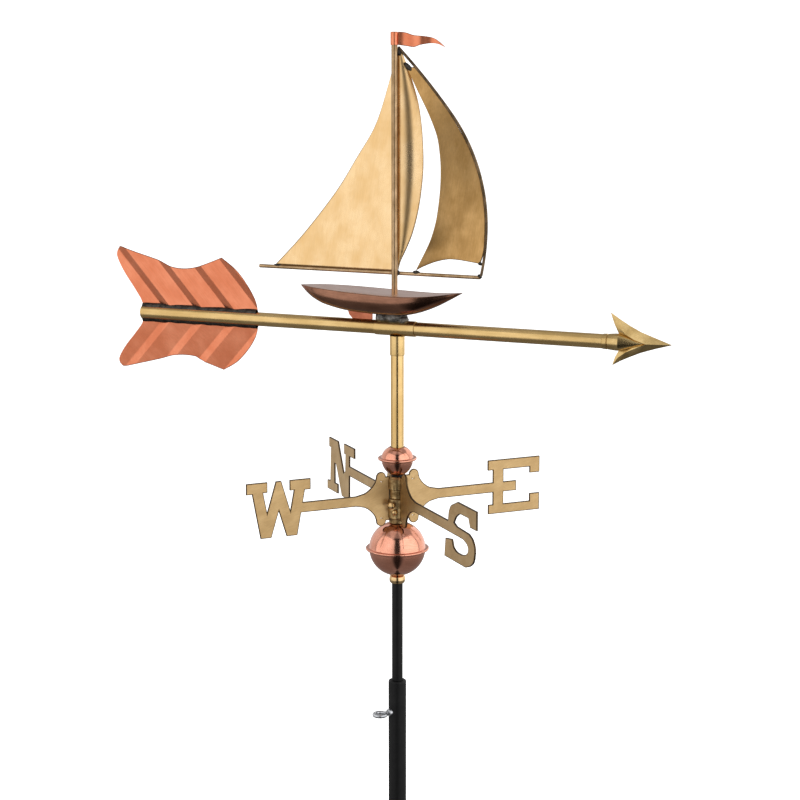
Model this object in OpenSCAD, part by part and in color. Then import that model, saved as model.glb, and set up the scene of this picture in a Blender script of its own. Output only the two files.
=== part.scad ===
// Sailing boat weather vane with compass letters, on a two-part garden pole.
// Origin: on the turning axis at ground level. +X points east, +Y north and +Z up.
// The arrow and the boat are drawn along +X and then turned to their rest heading.

/* [Pole] */
// Height of the arrow's centre line above the ground
arrow_z = 630; // [600:5:760]
// Outside diameter of the lower tube
socket_od = 16.5; // [15:0.5:22]
// Height of the lower tube's top above the ground
socket_top = 300.5; // [280:0.5:320]
// Diameter of the support rod
rod_d = 10; // [8:0.1:10]
// Diameter of the part that is driven into the ground
stake_d = 16; // [14:0.5:20]
// Length of the stake's straight part
stake_length = 190; // [120:10:300]
// Height of the eye screw above the ground
eye_z = 270.5; // [240:0.5:275]

/* [Arrow] */
// Outside diameter of the arrow tube
arrow_od = 12.7; // [12:0.1:13]
// Distance from the turning axis to the tube's tail end
tail_end = 256.5; // [255:0.5:262]
// Distance from the turning axis to the arrowhead's tip
tip_end = 253; // [245:1:260]
// Rest heading of the arrow, from east towards north
rest_heading = -45; // [-180:5:180]
// Sheet thickness of the fins, sails and pennant
sheet = 0.8; // [0.6:0.1:1]

/* [Boat] */
// Diameter of the mast
mast_d = 5.5; // [4:0.5:6]
// Height of the mast's top above the arrow's centre line
mast_top = 258; // [256:1:260]
// Half of the hull's greatest width
hull_half_beam = 21; // [16:0.5:24]
// Bend radius of the main sail past the mast
sail_curl = 32; // [28:1:60]

/* [Compass] */
// Thickness of the cast letters and arms
arm_t = 1.6; // [1.2:0.2:4]
// Height of an arm between its root and its letter
arm_h = 9.5; // [7:0.5:11]
// Radius of the large ball
large_ball_r = 25.8; // [22:0.2:27]
// Radius of the small ball
small_ball_r = 14.5; // [13.5:0.5:15]

/* [Hidden] */

$fa = 4;
$fs = 0.6;
gap = 0.05;             // air between fitted pieces of one body
run_gap = 0.08;         // radial running clearance on the support rod
over = 1;               // how far a cutter runs past what it cuts

// Levels above the ground, from the bottom up
spigot_top = 60;
rod_bottom = 60;
bead_bottom = arrow_z - 236.5;
bead_top = arrow_z - 229;
large_ball_z = arrow_z - 203.5;
hub_bottom = arrow_z - 178.9;
hub_top = arrow_z - 136;
arm_z = arrow_z - 156;
small_ball_z = arrow_z - 119.5;
spindle_bottom = arrow_z - 116;
rod_top = arrow_z - 22;

// The arrow and its tee
tee_od = arrow_od + 1.3;
tee_tail = -20.5;
tee_head = 18;
tee_branch_od = 13.5;
tee_branch_bottom = -24.5;
spindle_od = 12;
tube_wall = 0.8;
bearing_ball_d = 9.4;

// The balls
ball_wall = 0.9;
seam_t = 1.1;           // half of the rolled seam's height
large_seam_r = large_ball_r + 3.2;
small_seam_r = small_ball_r + 3.2;

// The boat
mast_x = -2.6;
rig_y = 4.5;            // the boom, stay and sails lie just behind the mast
boom_d = 3.4;
boom_z = 48.9;
stay_d = 2.6;
sail_foot = boom_z + boom_d / 2;

// Point on a smooth curve between p1 and p2
function curve_point(p0, p1, p2, p3, t) =
    0.5 * (2 * p1 + (p2 - p0) * t + (2 * p0 - 5 * p1 + 4 * p2 - p3) * t * t
           + (3 * p1 - p0 - 3 * p2 + p3) * t * t * t);

// Smooth open curve through key points
function smooth(keys, steps = 4) = let (last = len(keys) - 1) concat(
    [for (i = [0:last - 1], s = [0:steps - 1])
        curve_point(keys[max(i - 1, 0)], keys[i], keys[i + 1], keys[min(i + 2, last)], s / steps)],
    [keys[last]]);

// Height of a table of [x, value] rows at x
function along(table, x) = lookup(x, table);

module tube(outer_d, inner_d, length) {
    difference() {
        cylinder(d = outer_d, h = length);
        translate([0, 0, -over]) cylinder(d = inner_d, h = length + 2 * over);
    }
}

// Moves what is drawn along +X about the arrow's centre line to its rest heading
module on_arrow() {
    rotate([0, 0, rest_heading]) translate([0, 0, arrow_z]) children();
}

// Turns a cylinder's axis from +Z to +X, starting at x
module lengthwise(x) {
    translate([x, 0, 0]) rotate([0, 90, 0]) children();
}

// Extrudes an outline drawn in the upright XZ plane by a thickness across Y
module upright(thickness) {
    rotate([90, 0, 0]) linear_extrude(thickness, center = true) children();
}

// ---- pole ----

module ground_stake() {
    spigot_d = rod_d + 2 * run_gap - 2 * gap;
    point_length = 40;
    color("dimgray") rotate_extrude() polygon([
        [0, -stake_length - point_length], [1, -stake_length - point_length],
        [stake_d / 2, -stake_length], [stake_d / 2, 0], [spigot_d / 2, 0],
        [spigot_d / 2, spigot_top - 1], [spigot_d / 2 - 1, spigot_top], [0, spigot_top]]);
}

eye_heading = 192;      // the eye screw points a little south of west
eye_thread_d = 4;
eye_nut_d = 7;
eye_nut_t = 2.6;

module toward_eye() {
    translate([0, 0, eye_z]) rotate([0, 0, eye_heading]) rotate([0, 90, 0]) children();
}

module socket_tube() {
    chamfer = 0.6;
    bore_r = rod_d / 2 + run_gap;
    color("black") difference() {
        rotate_extrude() polygon([
            [bore_r, 0], [socket_od / 2, 0], [socket_od / 2, socket_top - chamfer],
            [socket_od / 2 - chamfer, socket_top], [bore_r, socket_top]]);
        toward_eye() cylinder(d = eye_thread_d + 2 * gap, h = socket_od);
    }
}

module eye_screw_nut() {
    color("silver") difference() {
        toward_eye() tube(eye_nut_d, eye_thread_d + 2 * gap, socket_od / 2 + eye_nut_t);
        translate([0, 0, eye_z - eye_nut_d]) cylinder(d = socket_od, h = 2 * eye_nut_d);
    }
}

module eye_screw() {
    ring_mid_r = 5.3;
    wire_d = 1.9;
    ring_at = 19.6;
    color("silver") {
        toward_eye() translate([0, 0, rod_d / 2 + gap])
            cylinder(d = eye_thread_d, h = ring_at - ring_mid_r - rod_d / 2);
        translate([0, 0, eye_z]) rotate([0, 0, eye_heading]) translate([ring_at, 0, 0])
            rotate_extrude() translate([ring_mid_r, 0]) circle(d = wire_d);
    }
}

// ---- rod, balls and bead ----

module support_rod() {
    color("black") rotate_extrude() polygon([
        [0, rod_bottom], [rod_d / 2 - 0.8, rod_bottom], [rod_d / 2, rod_bottom + 0.8],
        [rod_d / 2, rod_top - 1.5], [rod_d / 2 - 1.5, rod_top], [0, rod_top]]);
}

module bead_collar() {
    bead_r = 7.4;
    swell = 1.6;        // how far the bead bulges from its end faces
    mid = (bead_top + bead_bottom) / 2;
    half = (bead_top - bead_bottom) / 2;
    bore_r = rod_d / 2 + gap;
    color("gold") translate([0, 0, mid]) rotate_extrude() polygon(concat(
        [[bore_r, -half]],
        [for (a = [-90:15:90]) [bead_r - swell + swell * cos(a), half * sin(a)]],
        [[bore_r, half]]));
}

// Half of a two-part ball: a spun cup with a flat rim. up is 1 for the upper half.
module ball_half(centre_z, ball_r, rim_r, crown, hole_d, up) {
    squash = crown / ball_r;
    translate([0, 0, centre_z]) mirror([0, 0, up > 0 ? 0 : 1]) difference() {
        rotate_extrude() union() {
            polygon(concat(
                [for (a = [0:6:90]) [ball_r * cos(a), ball_r * squash * sin(a)]],
                [for (a = [90:-6:0]) [(ball_r - ball_wall) * cos(a),
                                      (ball_r * squash - ball_wall) * sin(a)]]));
            translate([ball_r - ball_wall, 0]) square([rim_r - ball_r + ball_wall - 0.6, seam_t]);
            intersection() {
                translate([rim_r - seam_t, 0]) circle(r = seam_t);
                translate([rim_r - 2 * seam_t, 0]) square(2 * seam_t);
            }
        }
        cylinder(d = hole_d, h = 2 * ball_r);
    }
}

module large_ball_lower() {
    color("sandybrown") ball_half(large_ball_z, large_ball_r, large_seam_r, large_ball_r - 0.3,
                                  rod_d + 2 * gap, -1);
}

module large_ball_upper() {
    color("sandybrown") ball_half(large_ball_z, large_ball_r, large_seam_r, large_ball_r - 0.8,
                                  rod_d + 2 * gap, 1);
}

module small_ball_lower() {
    color("sandybrown") ball_half(small_ball_z, small_ball_r, small_seam_r, 16.3,
                                  rod_d + 2 * gap, -1);
}

module small_ball_upper() {
    color("sandybrown") ball_half(small_ball_z, small_ball_r, small_seam_r, 12,
                                  spindle_od + 1.2, 1);
}

// ---- compass ----

// Turned sleeve with collars, four slots for the arms and cross holes for the screws
hub_r = 9.4;
hub_neck_r = 7.6;
arm_root = 7.9;         // radius of the arms' inner edge
slot_w = arm_t + 2 * gap;

module compass_hub() {
    bore_r = rod_d / 2 + run_gap;
    color("goldenrod") difference() {
        rotate_extrude() polygon([
            [bore_r, hub_bottom], [hub_neck_r, hub_bottom], [hub_neck_r, hub_bottom + 4],
            [hub_r, hub_bottom + 5], [hub_r, arm_z - 0.5], [hub_neck_r, arm_z + 0.5],
            [hub_neck_r, arm_z + 8], [hub_r, arm_z + 9], [hub_r, hub_top - 2],
            [hub_neck_r, hub_top], [bore_r, hub_top]]);
        for (a = [0:90:270]) rotate([0, 0, a])
            translate([arm_root - gap, -slot_w / 2, hub_bottom - over])
                cube([hub_r, slot_w, hub_top - hub_bottom + 2 * over]);
        for (row = hub_screws) at_screw(row) cylinder(d = row[2] + 2 * gap, h = hub_r + over);
    }
}

// Each screw is [azimuth, height above the arm's centre, shank, head, head's outer radius]
hub_screws = [[-138, -5.5, 3, 6.6, 15.5], [-126, -12, 2.5, 5, 13.5]];

module at_screw(row) {
    translate([0, 0, arm_z + row[1]]) rotate([0, 0, row[0]]) rotate([0, 90, 0]) children();
}

module hub_set_screws() {
    head_t = 2.4;
    color("gold") for (row = hub_screws) at_screw(row) {
        translate([0, 0, rod_d / 2 + run_gap + gap])
            cylinder(d = row[2], h = row[4] - head_t - rod_d / 2);
        translate([0, 0, row[4] - head_t]) rotate_extrude() intersection() {
            translate([0, -row[3] * 0.55 + head_t]) circle(d = row[3] * 1.1);
            square([row[3] / 2, head_t]);
        }
    }
}

// Four small screws that pin the arms' roots, just outside the hub on the arm's faces
arm_screw_x = 15.5;
arm_screw_d = 2.6;

module arm_screws() {
    shank = arm_t + 2.2;
    color("gold") for (a = [0:90:270], dz = [-17, 17]) rotate([0, 0, a])
        translate([arm_screw_x, 0, arm_z + dz]) rotate([90, 0, 0])
            cylinder(d = arm_screw_d, h = shank, center = true);
}

// Letters, drawn with x as the distance from the turning axis and y from the arm's centre.
// cap and base are the letters' top and bottom edges.
cap = 26;
base = -25.2;
bar = 9.6;

module letter_w() {
    mid = 115;
    half = 30.5;
    foot_in = 7.2;
    foot_out = 17.5;
    side = [[2.6, cap], [11, -2], [14.5, cap - bar], [10.5, cap - bar], [10.5, cap],
            [half, cap], [half, cap - bar - 0.5], [half - 5.5, cap - bar - 0.5],
            [foot_out, base], [foot_in, base]];
    translate([mid, 0]) polygon(concat(
        side, [[0, -1.5]], [for (i = [len(side) - 1:-1:0]) [-side[i][0], side[i][1]]]));
}

module letter_e() {
    left = 91;
    right = 144.5;
    stem = [96.3, 107.2];
    serif = 10.3;
    polygon([
        [left, cap], [right, cap], [right, cap - 15.4], [right - serif, cap - 15.4],
        [right - serif, cap - bar], [stem[1], cap - bar], [stem[1], arm_h / 2],
        [120.3, arm_h / 2], [120.3, -arm_h / 2], [stem[1], -arm_h / 2], [stem[1], base + 9],
        [right - serif, base + 9], [right - serif, base + 16.2], [right, base + 16.2],
        [right, base], [left + 0.6, base], [left + 0.6, base + 9], [stem[0], base + 9],
        [stem[0], cap - bar], [left, cap - bar]]);
}

module letter_n() {
    lift = -1.5;
    translate([0, lift]) polygon([
        [101.2, cap], [127.3, cap], [127.3, cap - 10], [123.5, cap - 10], [124.5, -1],
        [129, -3.5], [143, cap - 0.8], [165.7, cap - 0.8], [165.7, cap - 10.3], [161, cap - 10.3],
        [163.2, base + 7.4], [170.9, base + 6.6], [170.9, base - 2], [144, base - 2],
        [144, base + 7.4], [152, base + 7.4], [152, 1.5], [148, 1.5], [133.5, base - 2],
        [115, base - 2], [114, cap - 10], [101.2, cap - 10]]);
}

module letter_s() {
    outer_top = smooth([[111.6, 5.5], [113.2, 13.5], [118.4, 20], [130.8, 25.4]]);
    inner_top = smooth([[152.5, 16], [137, 15.8], [128.2, 11.5], [123.6, 5.5]]);
    outer_low = smooth([[153.4, 2.6], [161.2, -1], [165.6, -8.5], [163.8, -19], [157, -25],
                        [147.2, -28.6]]);
    inner_low = smooth([[122.8, -16.5], [129.4, -19], [140.8, -18.8], [149.6, -16], [152.4, -11.5],
                        [149.6, -7.5], [141.8, -5]]);
    polygon(concat(
        outer_top, [[168.8, 25.4], [168.8, 8.6], [156, 8.6]], inner_top,
        [[129.8, 3.4]], outer_low, [[104.2, -28.6], [106.5, -12], [119.6, -10]],
        inner_low, [[111.6, -arm_h / 2]]));
}

// Root plate and bar of an arm that reaches to x
module arm_bar(x) {
    lobe_in = 11.5;
    lobe_out = 21;
    lobe_r = (lobe_out - lobe_in) / 2;
    lobe_top = 25.2;
    tab_half = (hub_top - hub_bottom) / 2 - 1;
    lobe_mid = lobe_in + lobe_r;
    edge = concat(
        [[arm_root, tab_half], [lobe_in, tab_half]],
        [for (a = [165:-15:0]) [lobe_mid + lobe_r * cos(a), lobe_top - lobe_r + lobe_r * sin(a)]],
        smooth([[lobe_out + 0.1, 19.6], [22.5, 15.5], [26.5, 10.6], [32.5, 6.6], [41, arm_h / 2]]),
        [[x, arm_h / 2]]);
    polygon(concat(edge, [for (i = [len(edge) - 1:-1:0]) [edge[i][0], -edge[i][1]]]));
}

module arm(heading) {
    color("burlywood") difference() {
        rotate([0, 0, heading]) translate([0, 0, arm_z]) upright(arm_t) children();
        rotate([0, 0, heading]) for (x = [-1, 1] * arm_screw_x, dz = [-17, 17])
            translate([x, 0, arm_z + dz]) rotate([90, 0, 0])
                cylinder(d = arm_screw_d + 2 * gap, h = 2 * arm_t, center = true);
    }
}

module arm_east() {
    arm(0) union() {
        arm_bar(97);
        letter_e();
    }
}

module arm_south() {
    arm(-90) union() {
        arm_bar(112);
        letter_s();
    }
}

// West and north are drawn with x running inwards, so that the letters read correctly
module arm_west() {
    arm(0) mirror([1, 0]) union() {
        arm_bar(95);
        letter_w();
    }
}

module arm_north() {
    arm(-90) mirror([1, 0]) union() {
        arm_bar(116);
        letter_n();
    }
}

// ---- arrow ----

module spindle_tube() {
    color("goldenrod") translate([0, 0, spindle_bottom])
        tube(spindle_od, rod_d + 2 * run_gap, arrow_z - tee_od / 2 - spindle_bottom);
}

module bearing_ball() {
    color("silver") translate([0, 0, rod_top + bearing_ball_d / 2 + 0.02]) sphere(d = bearing_ball_d);
}

module thrust_plug() {
    plug_bottom = rod_top + bearing_ball_d + 0.02;
    color("goldenrod") difference() {
        translate([0, 0, plug_bottom - 1.5])
            cylinder(d = rod_d + run_gap, h = arrow_z - tee_od / 2 - plug_bottom + 1.5);
        translate([0, 0, rod_top + bearing_ball_d / 2 + 0.02]) sphere(d = bearing_ball_d + 0.02);
    }
}

module tee_fitting() {
    color("goldenrod") rotate([0, 0, rest_heading]) difference() {
        union() {
            translate([0, 0, arrow_z]) lengthwise(tee_tail)
                cylinder(d = tee_od, h = tee_head - tee_tail);
            translate([0, 0, arrow_z + tee_branch_bottom])
                cylinder(d = tee_branch_od, h = -tee_branch_bottom);
        }
        translate([0, 0, arrow_z]) lengthwise(tee_tail - over)
            cylinder(d = arrow_od + 2 * gap, h = tee_head - tee_tail + 2 * over);
        translate([0, 0, arrow_z + tee_branch_bottom - over])
            cylinder(d = spindle_od + 2 * gap, h = -tee_branch_bottom);
    }
}

module arrow_tube_tail() {
    color("goldenrod") on_arrow() lengthwise(-tail_end)
        tube(arrow_od, arrow_od - 2 * tube_wall, tail_end - 8);
}

module arrow_tube_head() {
    tube_end = 191.5;
    color("goldenrod") on_arrow() lengthwise(8)
        tube(arrow_od, arrow_od - 2 * tube_wall, tube_end - 8);
}

// Flat disc soldered just inside the tail end of the tube
module tail_plug() {
    color("gray") on_arrow() lengthwise(-tail_end + 1.5)
        cylinder(d = arrow_od - 2 * tube_wall - 2 * gap, h = 1.5);
}

// Folded sheet: the folds run at fold_angle below the arrow's direction and repeat every
// fold_pitch along it, a wide leaf and then a narrow one
fold_angle = 49;
fold_pitch = 33.5;
fold_narrow = 10;
fold_depth = 3.2;
fin_root = 8.4;
fold_start = -238;      // where a narrow leaf starts, at fin_root

module folded_sheet() {
    pitch = fold_pitch * sin(fold_angle);
    narrow = fold_narrow * sin(fold_angle);
    start = fold_start * sin(fold_angle) + fin_root * cos(fold_angle);
    ridge = [for (i = [-2:5], k = [0, 1])
        [start + i * pitch + k * narrow, fold_depth * (0.5 - k)]];
    shift = sheet / 2 / cos(20);
    // the sheet's cross-section lies across the folds, and is extruded along them
    rotate([0, fold_angle, 0]) translate([-200, 0, 0]) rotate([0, 90, 0]) rotate([0, 0, 90])
        linear_extrude(400, center = true) polygon(concat(
            [for (p = ridge) [p[1] + shift, p[0]]],
            [for (i = [len(ridge) - 1:-1:0]) [ridge[i][1] - shift, ridge[i][0]]]));
}

fin_upper = concat(
    [[-256, fin_root]],
    smooth([[-258, 13], [-266, 24.5], [-275, 37], [-281, 47.5], [-283, 54], [-281, 59],
            [-277, 60.5], [-262, 56], [-240, 49.5], [-224, 44], [-210, 43], [-196, 46],
            [-174, 54.8]]),
    smooth([[-174, 54.8], [-159, 45], [-147.5, 31.5], [-140.5, 18.5], [-138.5, fin_root]]));

module tail_fin_upper() {
    color("salmon") on_arrow() intersection() {
        folded_sheet();
        upright(40) polygon(fin_upper);
    }
}

module tail_fin_lower() {
    shorten = 0.92;
    color("salmon") on_arrow() mirror([0, 0, 1]) intersection() {
        folded_sheet();
        upright(40) polygon([for (p = fin_upper)
            [p[0], fin_root + (p[1] - fin_root) * shorten * (p[0] > -200 ? 0.97 : 0.93)]]);
    }
}

// Solder fillets between the tube and both fins
module tail_seams() {
    half_w = 3.2;
    length = tail_end - 139;
    color("dimgray") on_arrow() difference() {
        for (m = [0, 1]) mirror([0, 0, m]) translate([-tail_end + 0.5, 0, 0]) rotate([90, 0, 90])
            linear_extrude(length) polygon([
                [-half_w - 1, 4.5], [half_w + 1, 4.5], [half_w, fin_root - 0.5],
                [half_w - 1, fin_root], [1 - half_w, fin_root], [-half_w, fin_root - 0.5]]);
        lengthwise(-tail_end - over) cylinder(d = arrow_od + 2 * gap, h = tail_end);
    }
}

// Round socket that carries the arrowhead: a collar and then a cone
socket_start = 191.5;
socket_end = 206;
cone_end = 228;

module arrowhead_socket() {
    color("peru") on_arrow() difference() {
        lengthwise(0) rotate_extrude() polygon([
            [0, socket_start], [6.7, socket_start], [6.9, socket_start + 4],
            [6.6, socket_start + 4.4], [6.9, socket_start + 5], [7.5, socket_end - 3],
            [7.4, socket_end], [0.6, cone_end], [0, cone_end]]);
        lengthwise(socket_start - over) cylinder(d = 9, h = 8);
    }
}

// Swept-back head: each blade rises from a thin outer edge to a ridge and falls to its back
// edge. Rows run from the barb to the nose, where both blades share the ridge and back points.
edge_half = 0.5;
head_rise = [0.5, 1.6, 2.6, 3.1, 3.4];
head_rows = [
    [[[198, 25.5], [206, 20.3], [215, 15], [225, 10], [238, 5.4]],
     [[198.6, 24.4], [205, 14], [212, 7.4], [220, 3.2], [230, 0.1]],
     [[198, 25.2], [201.2, 16], [205.5, 7.4], [215.5, 3.6], [227, 0]]],
    [[[200, -20.5], [207, -16.4], [215, -12.6], [225, -8.2], [238, -3.9]],
     [[200.5, -19.5], [205, -13.4], [212, -8.2], [220, -4.4], [230, 0.1]],
     [[200, -20.2], [202.3, -13.2], [205.5, -7.2], [215.5, -3.4], [227, 0]]]];

module arrowhead() {
    n = len(head_rows[0][0]);
    last = n - 1;
    apex = 12 * n;
    points = concat(
        [for (side = [-1, 1], blade = head_rows, row = [0:2], i = [0:last])
            [blade[row][i][0], side * (row == 1 ? head_rise[i] : edge_half), blade[row][i][1]]],
        [[tip_end, 0, 0.3]]);
    // Number of a point: far is 0 or 1, blade is 0 above and 1 below
    function at(far, blade, row, i) =
        ((far * 2 + (row > 0 && i == last ? 0 : blade)) * 3 + row) * n + i;
    function quad(a, b, c, d) = [[a, b, c], [a, c, d]];
    function blade_faces(b) = concat(
        [for (row = [0, 1], i = [0:last - 1]) each concat(
            quad(at(0, b, row, i), at(0, b, row, i + 1), at(0, b, row + 1, i + 1), at(0, b, row + 1, i)),
            quad(at(1, b, row, i), at(1, b, row + 1, i), at(1, b, row + 1, i + 1), at(1, b, row, i + 1)))],
        [for (i = [0:last - 1]) each concat(
            quad(at(0, b, 0, i), at(1, b, 0, i), at(1, b, 0, i + 1), at(0, b, 0, i + 1)),
            quad(at(0, b, 2, i), at(0, b, 2, i + 1), at(1, b, 2, i + 1), at(1, b, 2, i)))],
        quad(at(0, b, 0, 0), at(0, b, 1, 0), at(1, b, 1, 0), at(1, b, 0, 0)),
        quad(at(0, b, 1, 0), at(0, b, 2, 0), at(1, b, 2, 0), at(1, b, 1, 0)),
        [[at(0, b, 0, last), apex, at(0, b, 1, last)], [at(1, b, 0, last), at(1, b, 1, last), apex],
         [at(0, b, 0, last), at(1, b, 0, last), apex]]);
    color("darkgoldenrod") on_arrow() polyhedron(points = points, faces = concat(
        blade_faces(0), [for (f = blade_faces(1)) [f[0], f[2], f[1]]]));
}

// ---- boat ----

// Half-beam, deck height and keel height along the hull, bow at the right
beam_table = [[-94, 0.3], [-86, 6.5], [-75, 12.5], [-60, 17], [-45, 19.6], [-25, 20.9], [-8, 21],
              [8, 19.6], [22, 16.6], [35, 12.4], [48, 7], [57, 2.6], [62, 0.3]];
sheer_table = [[-94, 34.6], [-70, 34], [-45, 33], [-20, 32], [0, 31.3], [15, 31.2], [35, 32],
               [62, 35]];
keel_table = [[-94, 34], [-90, 30.4], [-85, 26.6], [-80, 23.4], [-70, 19], [-60, 16.5],
              [-50, 14.6], [-40, 13.4], [-20, 12.2], [0, 12], [10, 12.6], [20, 14.6], [30, 18],
              [40, 22.4], [50, 27.8], [62, 34.6]];
hull_stations = [for (i = [0:40]) -94 + 156 * (i / 40)];
hull_round = [for (j = [0:8]) j * 90 / 8];
hull_wall = 0.9;
hull_fullness = 0.72;   // under 1 makes the bilge fuller than an ellipse

function section_point(x, a, wall, lift) = let (
    b = max(along(beam_table, x) * hull_half_beam / 21 - wall, 0.05),
    top = along(sheer_table, x) + lift,
    low = min(along(keel_table, x) + wall, top - 0.2))
    [x, b * pow(abs(sin(a)), hull_fullness), top - (top - low) * pow(cos(a), hull_fullness)];

// Closed boat-shaped solid, flat across the deck
module hull_form(wall, lift) {
    last = len(hull_stations) - 1;
    turn = len(hull_round) - 1;
    ring = 2 * turn + 1;
    x_of = [for (i = [0:last]) i == 0 ? -94 + 1.6 * wall : i == last ? 62 - 1.6 * wall
                                                          : hull_stations[i]];
    points = [for (x = x_of, j = [-turn:turn])
        let (p = section_point(x, hull_round[abs(j)], wall, lift)) [x, j < 0 ? -p[1] : p[1], p[2]]];
    skin = [for (i = [0:last - 1], j = [0:ring - 2]) each [
        [i * ring + j, i * ring + j + 1, (i + 1) * ring + j + 1],
        [i * ring + j, (i + 1) * ring + j + 1, (i + 1) * ring + j]]];
    lid = [for (i = [0:last - 1]) each [
        [i * ring, (i + 1) * ring, (i + 1) * ring + ring - 1],
        [i * ring, (i + 1) * ring + ring - 1, i * ring + ring - 1]]];
    stern = [for (j = [1:ring - 2]) [0, j + 1, j]];
    bow = [for (j = [1:ring - 2]) [last * ring, last * ring + j, last * ring + j + 1]];
    polyhedron(points = points, faces = [for (f = concat(skin, lid, stern, bow)) [f[2], f[1], f[0]]]);
}

module hull_shell() {
    color("saddlebrown") on_arrow() difference() {
        hull_form(0, 0);
        hull_form(hull_wall, 3);
        translate([mast_x, 0, 0]) cylinder(d = mast_d + 2 * gap, h = 40);
    }
}

deck_t = 0.9;

module deck_plate() {
    xs = [for (i = [0:26]) -90.5 + 149.5 * (i / 26)];
    color("rosybrown") on_arrow() difference() {
        intersection() {
            upright(60) polygon(concat(
                [for (x = xs) [x, along(sheer_table, x)]],
                [for (i = [len(xs) - 1:-1:0]) [xs[i], along(sheer_table, xs[i]) - deck_t]]));
            hull_form(hull_wall + 3 * gap, 3);
        }
        translate([mast_x, 0, 0]) cylinder(d = mast_d + 2 * gap, h = 60);
    }
}

// Short keel between the hull and the arrow tube
module keel_fin() {
    color("chocolate") on_arrow() difference() {
        upright(2.4) polygon([[-48, 15.2], [-24, 13], [-24, 6.4], [-43, 6.4], [-46.5, 10]]);
        hull_form(0, 0);
        lengthwise(-60) cylinder(d = arrow_od + 2 * gap, h = 60);
    }
}

// Lump of solder that holds the hull on the tee
module hull_saddle() {
    color("dimgray") on_arrow() difference() {
        union() {
            upright(13) polygon([[-22, 5], [11, 5], [12, 13.5], [-23, 13.5]]);
            translate([-1, 0, 9]) lengthwise(-13) cylinder(d = 15.6, h = 22);
        }
        hull_form(0, 0);
        lengthwise(-60) cylinder(d = tee_od + 2 * gap, h = 120);
        translate([-60, -20, 14]) cube([120, 40, 20]);
        translate([-60, -20, -20]) cube([120, 40, 23.2]);
        translate([mast_x, 0, 0]) cylinder(d = mast_d + 2 * gap, h = 60);
    }
}

module mast() {
    color("tan") on_arrow() translate([mast_x, 0, 9]) cylinder(d = mast_d, h = mast_top - 9);
}

module boom() {
    color("tan") on_arrow() translate([0, rig_y, boom_z]) lengthwise(-137.3)
        cylinder(d = boom_d, h = 214);
}

// Round wire that leaves the origin along +X and bends down through [radius, angle] arcs
module bent_wire(wire_d, arcs, i = 0) {
    r = arcs[i][0];
    a = arcs[i][1];
    translate([0, 0, -r]) rotate([90, 0, 0]) rotate([0, 0, 90 - a])
        rotate_extrude(angle = a, $fa = 1.5) translate([r, 0]) circle(d = wire_d);
    if (i + 1 < len(arcs))
        translate([r * sin(a), 0, r * cos(a) - r]) rotate([0, a, 0]) bent_wire(wire_d, arcs, i + 1);
}

stay_head = [-0.8, 248.5];
stay_bends = [[580, 7.5], [160, 37.5], [206, 12.2]];

module forestay() {
    color("dimgray") on_arrow() difference() {
        translate([stay_head[0], rig_y, stay_head[1]]) rotate([0, 45, 0])
            bent_wire(stay_d, stay_bends);
        translate([mast_x, 0, 200]) cylinder(d = mast_d + 2 * gap, h = 60);
        translate([0, rig_y, boom_z]) lengthwise(60) cylinder(d = boom_d + 2 * gap, h = 40);
    }
}

// What the sails are cut back by along the stay
module stay_clearance() {
    translate([stay_head[0], rig_y, stay_head[1]]) rotate([0, 45, 0])
        bent_wire(stay_d + 2 * gap, stay_bends);
}

// Flat sheet behind the mast that curls away past it
module mainsail() {
    sail_y = rig_y;
    curl = 48;          // how far the curl is drawn, past what the outline uses
    leech = smooth([[-1.5, 246.5], [-7, 226], [-21.6, 182], [-41, 150], [-61, 119.5],
                    [-92.5, 81], [-121.6, sail_foot]]);
    luff = smooth([[-1, sail_foot], [1.5, 60], [6.2, 71], [11, 84], [15.2, 101], [18.3, 121],
                   [20.1, 145], [19.2, 173], [16.4, 197], [12.4, 214], [7.5, 230], [2, 245]]);
    r_out = sail_curl + sheet / 2;
    r_in = sail_curl - sheet / 2;
    color("burlywood") on_arrow() difference() {
        intersection() {
            upright(120) polygon(concat(leech, luff));
            union() {
                translate([-140, sail_y - sheet / 2, 0]) cube([140, sheet, 260]);
                translate([0, sail_y + sail_curl, 0]) rotate([0, 0, -90])
                    rotate_extrude(angle = curl, $fa = 2) translate([r_in, 0]) square([sheet, 260]);
            }
        }
        translate([mast_x, 0, 40]) cylinder(d = mast_d + 2 * gap, h = 230);
        stay_clearance();
    }
}

// Head sail: its luff hangs along the stay and its free edge stands out to the other side
jib_out = 8;
jib_leech = smooth([[16, sail_foot + 1.6], [25.9, 70], [32.4, 83], [37.8, 100], [41.2, 122],
                    [42.2, 140], [41.2, 156], [37.8, 173], [29.2, 192], [18.9, 210], [7.5, 231]]);
jib_luff = smooth([[76.8, 61], [80.6, 73], [81.5, 90], [81, 106], [78.4, 126], [73.4, 144],
                   [65.5, 163], [54.9, 181], [42.8, 198], [27.9, 216], [14.4, 231.5]]);
jib_foot = smooth([[16, sail_foot + 1.6], [23, 56], [34, 60.6], [46, 63.6], [56, 63.6], [66, 62.5],
                   [76.8, 61]]);

// Point at share t of a list of points
function on_curve(points, t) =
    let (place = t * (len(points) - 1), i = min(floor(place), len(points) - 2))
    points[i] + (points[i + 1] - points[i]) * (place - i);

function jib_point(s, t) = let (
    flat = jib_leech[0] * (1 - s) + jib_luff[0] * s,
    p = on_curve(jib_leech, t) * (1 - s) + on_curve(jib_luff, t) * s
        + (on_curve(jib_foot, s) - flat) * pow(1 - t, 3))
    [p[0], rig_y - jib_out * sin(180 * t) * (1 - s), p[1]];

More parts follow.
